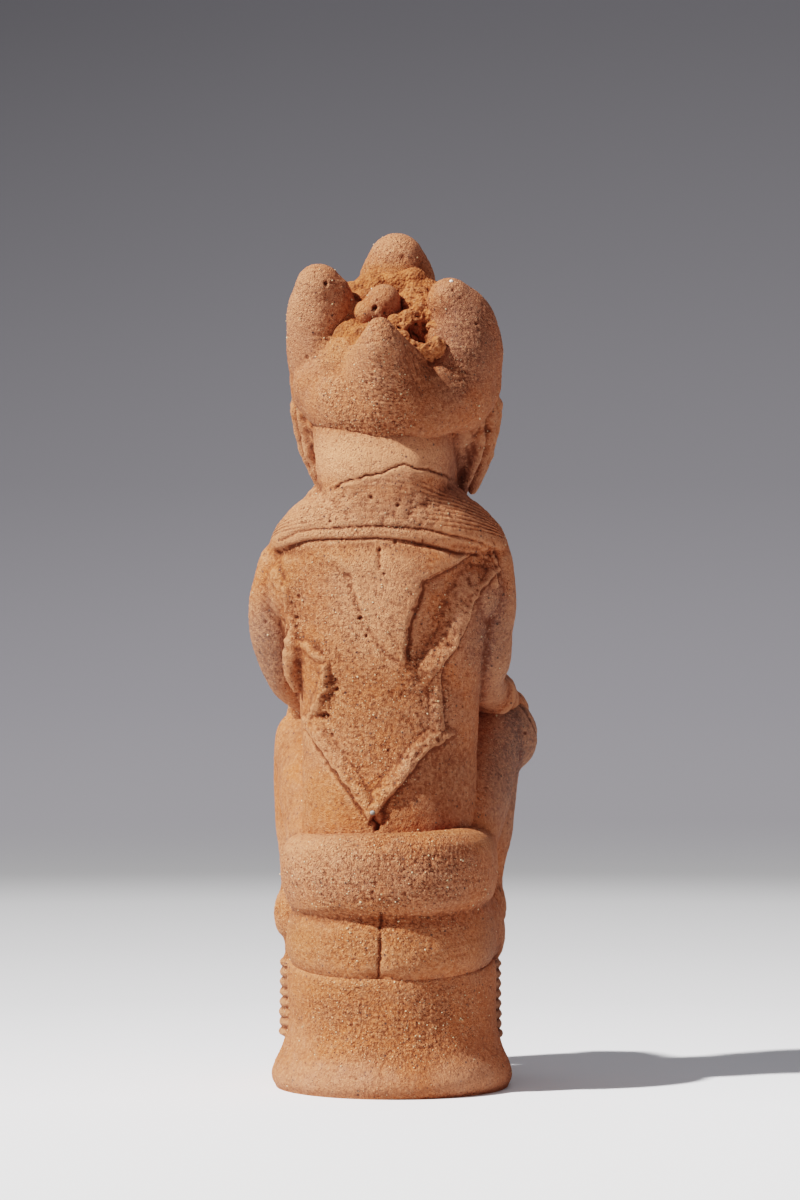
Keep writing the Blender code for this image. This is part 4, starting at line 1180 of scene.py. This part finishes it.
def ramp(tree, value, low, high, bottom=0.0, top=1.0):
    limits = {"Value": value, "From Min": low, "From Max": high, "To Min": bottom, "To Max": top}
    return addNode(tree, "ShaderNodeMapRange", limits).outputs["Result"]


def maths(tree, operation, first, second):
    return addNode(tree, "ShaderNodeMath", {0: first, 1: second}, operation=operation).outputs["Value"]


def times(tree, first, second):
    return maths(tree, "MULTIPLY", first, second)


def plus(tree, first, second):
    return maths(tree, "ADD", first, second)


def tint(tree, share, first, second):
    made = tree.nodes.new("ShaderNodeMix")
    made.data_type = "RGBA"
    for socket, value in ((0, share), (6, first), (7, second)):
        if isinstance(value, bpy.types.NodeSocket):
            tree.links.new(value, made.inputs[socket])
        else:
            made.inputs[socket].default_value = value
    return made.outputs[2]


def bumped(tree, surface, height, distance, strength=1.0):
    bump = addNode(tree, "ShaderNodeBump", {"Height": height, "Strength": strength, "Distance": distance})
    tree.links.new(bump.outputs["Normal"], surface.inputs["Normal"])


clayLook = {
    "body": (0.372, 0.124, 0.054, 1), "pink": (0.440, 0.194, 0.117, 1), "soil": (0.395, 0.132, 0.041, 1),
    "deep": (0.130, 0.035, 0.013, 1), "brown": (0.255, 0.087, 0.040, 1), "pale": (0.570, 0.268, 0.150, 1),
    "orange": (0.425, 0.125, 0.042, 1), "quartz": (0.74, 0.57, 0.38, 1), "dark": (0.055, 0.042, 0.038, 1),
    # coat is a grey coat and, on the shaded right side, painted shade; shade is painted shade
    "greyCoatAndShade": (0.135, 0.086, 0.075, 1), "bare": (0.720, 0.318, 0.178, 1), "shade": (0.200, 0.068, 0.030, 1),
    "roughness": 0.78, "specular": 0.30,
    # grains in the colour: cells to the metre, size, rarity, shade, strength
    "grains": ((360.0, 0.26, 0.92, "dark", 0.75), (760.0, 0.30, 0.84, "dark", 0.75),
               (520.0, 0.20, 0.95, "quartz", 0.70), (1000.0, 0.32, 0.84, "quartz", 0.50)),
    # grit too fine for the mesh: cells to the metre, height, reach
    "bumps": ((640.0, 0.42, 0.5), (1100.0, 0.42, 0.5), (1900.0, 0.26, 0.6)), "bumpDepth": 0.00070,
}


def clayColour(tree, place, read, middle, small, tiny):
    look = clayLook
    large = blotches(tree, place, 38.0, 5.0, 0.62)
    shifted = addNode(tree, "ShaderNodeVectorMath", {0: place, 1: (0.31, 0.17, 0.23)}).outputs[0]
    other = blotches(tree, shifted, 70.0, 5.0, 0.62)
    colour = tint(tree, ramp(tree, large, 0.40, 0.60), look["body"], look["orange"])
    colour = tint(tree, ramp(tree, other, 0.50, 0.70, 0.0, 0.8), colour, look["brown"])
    pinkShare = plus(tree, times(tree, read["pink"], 0.75), ramp(tree, middle, 0.50, 0.72, 0, 0.55))
    colour = tint(tree, pinkShare, colour, look["pink"])
    # soil is real soil; the grey coat is also painted shade on the shaded right side
    for stainOrShade, low, least in (("soil", 0.28, 0.45), ("greyCoatAndShade", 0.25, 0.75)):
        share = times(tree, read[stainOrShade], ramp(tree, middle, low, 0.6, least, 1.0))
        colour = tint(tree, share, colour, look[stainOrShade])
    # painted shade: darker where shadow falls on the back and the crown
    colour = tint(tree, read["shade"], colour, look["shade"])
    bareShare = times(tree, read["bare"], ramp(tree, middle, 0.28, 0.6, 0.7, 1.0))
    colour = tint(tree, bareShare, colour, look["bare"])
    colour = tint(tree, ramp(tree, small, 0.50, 0.72, 0.0, 0.62), colour, look["pale"])
    colour = tint(tree, ramp(tree, small, 0.30, 0.48, 0.55, 0.0), colour, look["deep"])
    gritty = ramp(tree, read["grit"], 0.1, 1.0, 0.6, 1.5)
    colour = tint(tree, times(tree, ramp(tree, tiny, 0.53, 0.70, 0.0, 0.62), gritty), colour, look["pale"])
    colour = tint(tree, times(tree, ramp(tree, tiny, 0.30, 0.46, 0.58, 0.0), gritty), colour, look["deep"])
    colour = tint(tree, times(tree, read["crest"], 0.55), colour, look["pale"])
    # painted shade: the hollows darkened towards deep
    colour = tint(tree, ramp(tree, read["hollow"], 0.08, 1.0, 0.0, 0.85), colour, look["deep"])
    # dark and pale grains, each a small cell of its own size
    for scale, limit, chance, shade, strength in look["grains"]:
        cells = cellsOf(tree, place, scale)
        inside = ramp(tree, cells.outputs["Distance"], limit, limit - 0.12)
        picked = maths(tree, "GREATER_THAN", channel(tree, cells, "Red"), chance)
        share = times(tree, times(tree, inside, picked), strength)
        if shade == "quartz":
            share = times(tree, share, ramp(tree, read["grit"], 0.05, 0.8, 0.20, 1.0))
        colour = tint(tree, share, colour, look[shade])
    return colour


def clayHeight(tree, place, read, small, tiny):
    # shallow on the skin and deep where the skin has gone
    grain = None
    for scale, weight, reach in clayLook["bumps"]:
        cells = cellsOf(tree, place, scale)
        mound = times(tree, ramp(tree, cells.outputs["Distance"], 0.0, reach, weight, 0.0),
                      ramp(tree, channel(tree, cells, "Green"), 0.2, 1.0, 0.0, 1.5))
        grain = mound if grain is None else plus(tree, grain, mound)
    height = times(tree, grain, ramp(tree, read["grit"], 0.0, 1.0, 0.28, 2.7))
    height = plus(tree, height, times(tree, tiny, 1.05))
    height = plus(tree, height, times(tree, small, 1.0))
    turns = 2 * math.pi * (collar["to"] - collar["from"]) / collar["pitch"]
    strand = maths(tree, "COSINE", times(tree, read["strandLevel"], turns), 0.0)
    strand = times(tree, strand, read["strandKept"])
    return maths(tree, "SUBTRACT", height, times(tree, strand, 0.36))


def terracotta():
    material, tree, surface = blank("terracotta", clayLook["roughness"], clayLook["specular"])
    place = objectPlace(tree)
    names = ("hollow", "crest", "grit", *stainsAndShade, "strandLevel", "strandKept")
    read = {name: stored(tree, name) for name in names}
    middle = blotches(tree, place, 170.0, 5.0, 0.62)
    small = blotches(tree, place, 640.0, 4.0, 0.68)
    tiny = blotches(tree, place, 1500.0, 3.0, 0.7)
    tree.links.new(clayColour(tree, place, read, middle, small, tiny), surface.inputs["Base Color"])
    rougher = ramp(tree, tiny, 0.3, 0.7, clayLook["roughness"] - 0.12, clayLook["roughness"] + 0.16)
    tree.links.new(rougher, surface.inputs["Roughness"])
    bumped(tree, surface, clayHeight(tree, place, read, small, tiny), clayLook["bumpDepth"])
    return material


earthLook = {"light": (0.425, 0.152, 0.062, 1), "dark": (0.215, 0.065, 0.024, 1),
             "grey": (0.44, 0.218, 0.128, 1), "deep": (0.034, 0.010, 0.004, 1)}


def earthMaterial():
    material, tree, surface = blank("crumblyEarth", 0.95, 0.1)
    place = objectPlace(tree)
    middle = blotches(tree, place, 200.0, 5.0, 0.65)
    fine = blotches(tree, place, 1000.0, 4.0, 0.7)
    colour = tint(tree, ramp(tree, middle, 0.40, 0.62), earthLook["light"], earthLook["dark"])
    colour = tint(tree, ramp(tree, fine, 0.48, 0.70, 0.0, 0.55), colour, earthLook["grey"])
    colour = tint(tree, ramp(tree, fine, 0.30, 0.46, 0.55, 0.0), colour, earthLook["dark"])
    colour = tint(tree, times(tree, stored(tree, "crest"), 0.40), colour, earthLook["grey"])
    # painted shade: the hollows darkened towards deep
    colour = tint(tree, ramp(tree, stored(tree, "hollow"), 0.15, 0.9, 0.0, 0.9), colour, earthLook["deep"])
    tree.links.new(colour, surface.inputs["Base Color"])
    cells = cellsOf(tree, place, 800.0)
    bumped(tree, surface, plus(tree, ramp(tree, cells.outputs["Distance"], 0.0, 0.8, 1.0, 0.0), fine), 0.0006)
    return material


def grainMaterial(name, low, high, roughness, specular):
    material, tree, surface = blank(name, roughness, specular)
    place = objectPlace(tree)
    colour = tint(tree, ramp(tree, blotches(tree, place, 420.0, 2.0), 0.4, 0.6), low, high)
    tree.links.new(colour, surface.inputs["Base Color"])
    rough = addNode(tree, "ShaderNodeTexNoise", {"Vector": place, "Scale": 2500.0}).outputs["Fac"]
    bumped(tree, surface, rough, 0.0002, 0.3)
    return material


# Stage, light and camera. The floor is a flat disc that bends up into a wall; its greys are painted light,
# palest round a painted pool of light and darker up the wall

stage = {"flat": 1.26, "flatRings": 8, "bend": 1.6, "rise": 1.3, "rings": 40, "around": 96,
         "paintedLightCentre": (-0.043, 0.347, 0.0)}
floorPaintedFalloff = ((0.16, 0.80), (0.36, 0.56), (0.52, 0.44), (0.70, 0.34), (0.84, 0.20))
wallPaintedFalloff = ((0.12, 0.122), (0.33, 0.093), (0.58, 0.078), (0.85, 0.065))


def greys(tree, share, first, last, between, green, blue):
    colour = addNode(tree, "ShaderNodeValToRGB", {"Fac": share}).outputs["Color"]
    shades = colour.node.color_ramp.elements
    shades[0].color, shades[1].color = first, last
    for spot, grey in between:
        shades.new(spot).color = (grey, grey * green, grey * blue, 1)
    return colour


def paperWithPaintedLight():
    material, tree, surface = blank("paperWithPaintedLight", 0.9, 0.1)
    place = objectPlace(tree)
    sides = addNode(tree, "ShaderNodeSeparateXYZ", {"Vector": place}).outputs
    # painted light: the floor's greys fall off away from the painted pool of light, and the wall darkens
    # upwards
    away = addNode(tree, "ShaderNodeVectorMath", {0: place, 1: stage["paintedLightCentre"]}, operation="DISTANCE")
    near = greys(tree, ramp(tree, away.outputs["Value"], 0.0, 2.0), (0.80, 0.80, 0.80, 1),
                 (0.150, 0.150, 0.160, 1), floorPaintedFalloff, 1.0, 1.02)
    wall = greys(tree, ramp(tree, sides["Z"], 0.0, 1.0), (0.145, 0.143, 0.152, 1), (0.060, 0.059, 0.066, 1),
                 wallPaintedFalloff, 0.985, 1.07)
    # painted light: the wall is made brighter towards one side
    paintedSideLight = {0: wall, "Scale": ramp(tree, sides["X"], -0.45, 0.45, 1.03, 1.17)}
    wall = addNode(tree, "ShaderNodeVectorMath", paintedSideLight, operation="SCALE").outputs["Vector"]
    tree.links.new(tint(tree, ramp(tree, sides["Z"], 0.0, 0.03), near, wall), surface.inputs["Base Color"])
    return material


def studio():
    body = bmesh.new()
    rings = []
    bottom = body.verts.new((0, 0, 0))
    flatRings = stage["flatRings"]
    radii = [(stage["flat"] * step / flatRings, 0.0) for step in range(1, flatRings + 1)]
    for step in range(1, stage["rings"] + 1):
        angle = math.acos(max(0.0, 1 - stage["rise"] / stage["bend"])) * step / stage["rings"]
        radii.append((stage["flat"] + stage["bend"] * math.sin(angle), stage["bend"] * (1 - math.cos(angle))))
    for radius, height in radii:
        ring = []
        for step in range(stage["around"]):
            angle = 2 * math.pi * step / stage["around"]
            ring.append(body.verts.new((radius * math.cos(angle), radius * math.sin(angle), height)))
        rings.append(ring)
    for step in range(stage["around"]):
        body.faces.new((bottom, rings[0][step], rings[0][(step + 1) % stage["around"]]))
    for inner, outer in zip(rings, rings[1:]):
        for step in range(stage["around"]):
            after = (step + 1) % stage["around"]
            body.faces.new((inner[step], outer[step], outer[after], inner[after]))
    mesh = meshOf(body, "floorAndSweep")
    mesh.shade_smooth()
    mesh.materials.append(paperWithPaintedLight())
    sweep = putInScene("floorAndSweep", mesh)
    sweep.visible_shadow = False


lights = {"keyTurn": math.radians(58.0), "keyHeight": math.radians(45.0), "keyPower": 6.4,
          "keyAngle": math.radians(2.4), "keyColour": (1.0, 0.985, 0.965), "skyColour": (0.94, 0.95, 1.0),
          "skyPower": 0.37}


def lighting():
    key = bpy.data.lights.new("key", "SUN")
    key.energy = lights["keyPower"]
    key.angle = lights["keyAngle"]
    key.color = lights["keyColour"]
    lamp = putInScene("key", key)
    flat = math.cos(lights["keyHeight"])
    toward = Vector((flat * math.sin(lights["keyTurn"]), flat * math.cos(lights["keyTurn"]),
                     math.sin(lights["keyHeight"])))
    lamp.rotation_euler = toward.to_track_quat("Z", "Y").to_euler()
    lamp.location = toward * 2
    world = bpy.data.worlds.new("softRoom")
    world.use_nodes = True
    air = world.node_tree.nodes["Background"]
    air.inputs["Color"].default_value = (*lights["skyColour"], 1)
    air.inputs["Strength"].default_value = lights["skyPower"]
    bpy.context.scene.world = world
    bpy.context.scene.view_settings.view_transform = "Filmic"
    bpy.context.scene.view_settings.look = "High Contrast"


def camera():
    made = bpy.data.cameras.new("camera")
    made.sensor_fit = "VERTICAL"
    made.sensor_height = view["film"]
    made.lens = view["focalPixels"] / view["photoHeight"] * view["film"]
    made.clip_start = view["nearest"]
    eye = putInScene("camera", made)
    sine, cosine = math.sin(view["turn"]), math.cos(view["turn"])
    ahead = Vector((sine, -cosine, 0))
    rightward = Vector((-cosine, -sine, 0))
    eye.location = (-ahead * view["distance"] + rightward * view["side"]) * mm
    eye.location.z = view["eyeHeight"] * mm
    eye.rotation_euler = ahead.to_track_quat("-Z", "Y").to_euler()
    bpy.context.scene.camera = eye


def clayPiece(name, masses, carve, material, flat=False):
    clay = bmesh.new()
    for mass in masses:
        mass(clay)
    mesh = skinOf(clay, name, detail["voxel"], detail["wiping"])
    carve(mesh, name)
    mesh = thin(mesh, name)
    if flat:
        flatFoot(mesh)
    return finishPiece(mesh, name, material)


gritKinds = {
    "quartzGrit": {"material": ("quartz", (0.40, 0.26, 0.15, 1), (0.62, 0.48, 0.33, 1), 0.45, 0.4),
                   "sizes": (0.13, 0.60), "seed": 7, "count": 2200, "rough": True},
    "darkGrit": {"material": ("ironGrit", (0.055, 0.045, 0.042, 1), (0.12, 0.09, 0.08, 1), 0.6, 0.4),
                 "sizes": (0.14, 0.40), "seed": 9, "count": 1000, "rough": False},
}


def main():
    camera()
    studio()
    lighting()
    say("stage is set")
    clayStuff = terracotta()
    torsoMasses = (trunk, collarMass, arms, armpitTassel, headMass)
    torso = clayPiece("torsoAndHead", torsoMasses, carveTorso, clayStuff)
    hips = clayPiece("hipsAndLegs", (hipsAndRoll, legs), carveHips, clayStuff, flat=True)
    seat = clayPiece("drumSeat", (drumSeat,), carveDrum, clayStuff, flat=True)
    coiffure = clayPiece("coiffure", (crownMass,), carveCrown, clayStuff)
    packedEarth(earthMaterial())
    clayPieces = [(torso, 0.35), (hips, 0.30), (seat, 0.15), (coiffure, 0.20)]
    for name, kind in gritKinds.items():
        material = grainMaterial(*kind["material"])
        setGrit(clayPieces, name, material, kind["sizes"], kind["seed"], kind["count"], kind["rough"])
    singleStone("greyPebble", torso)
    singleStone("whiteGrain", coiffure)
    say("grit is set")


main()
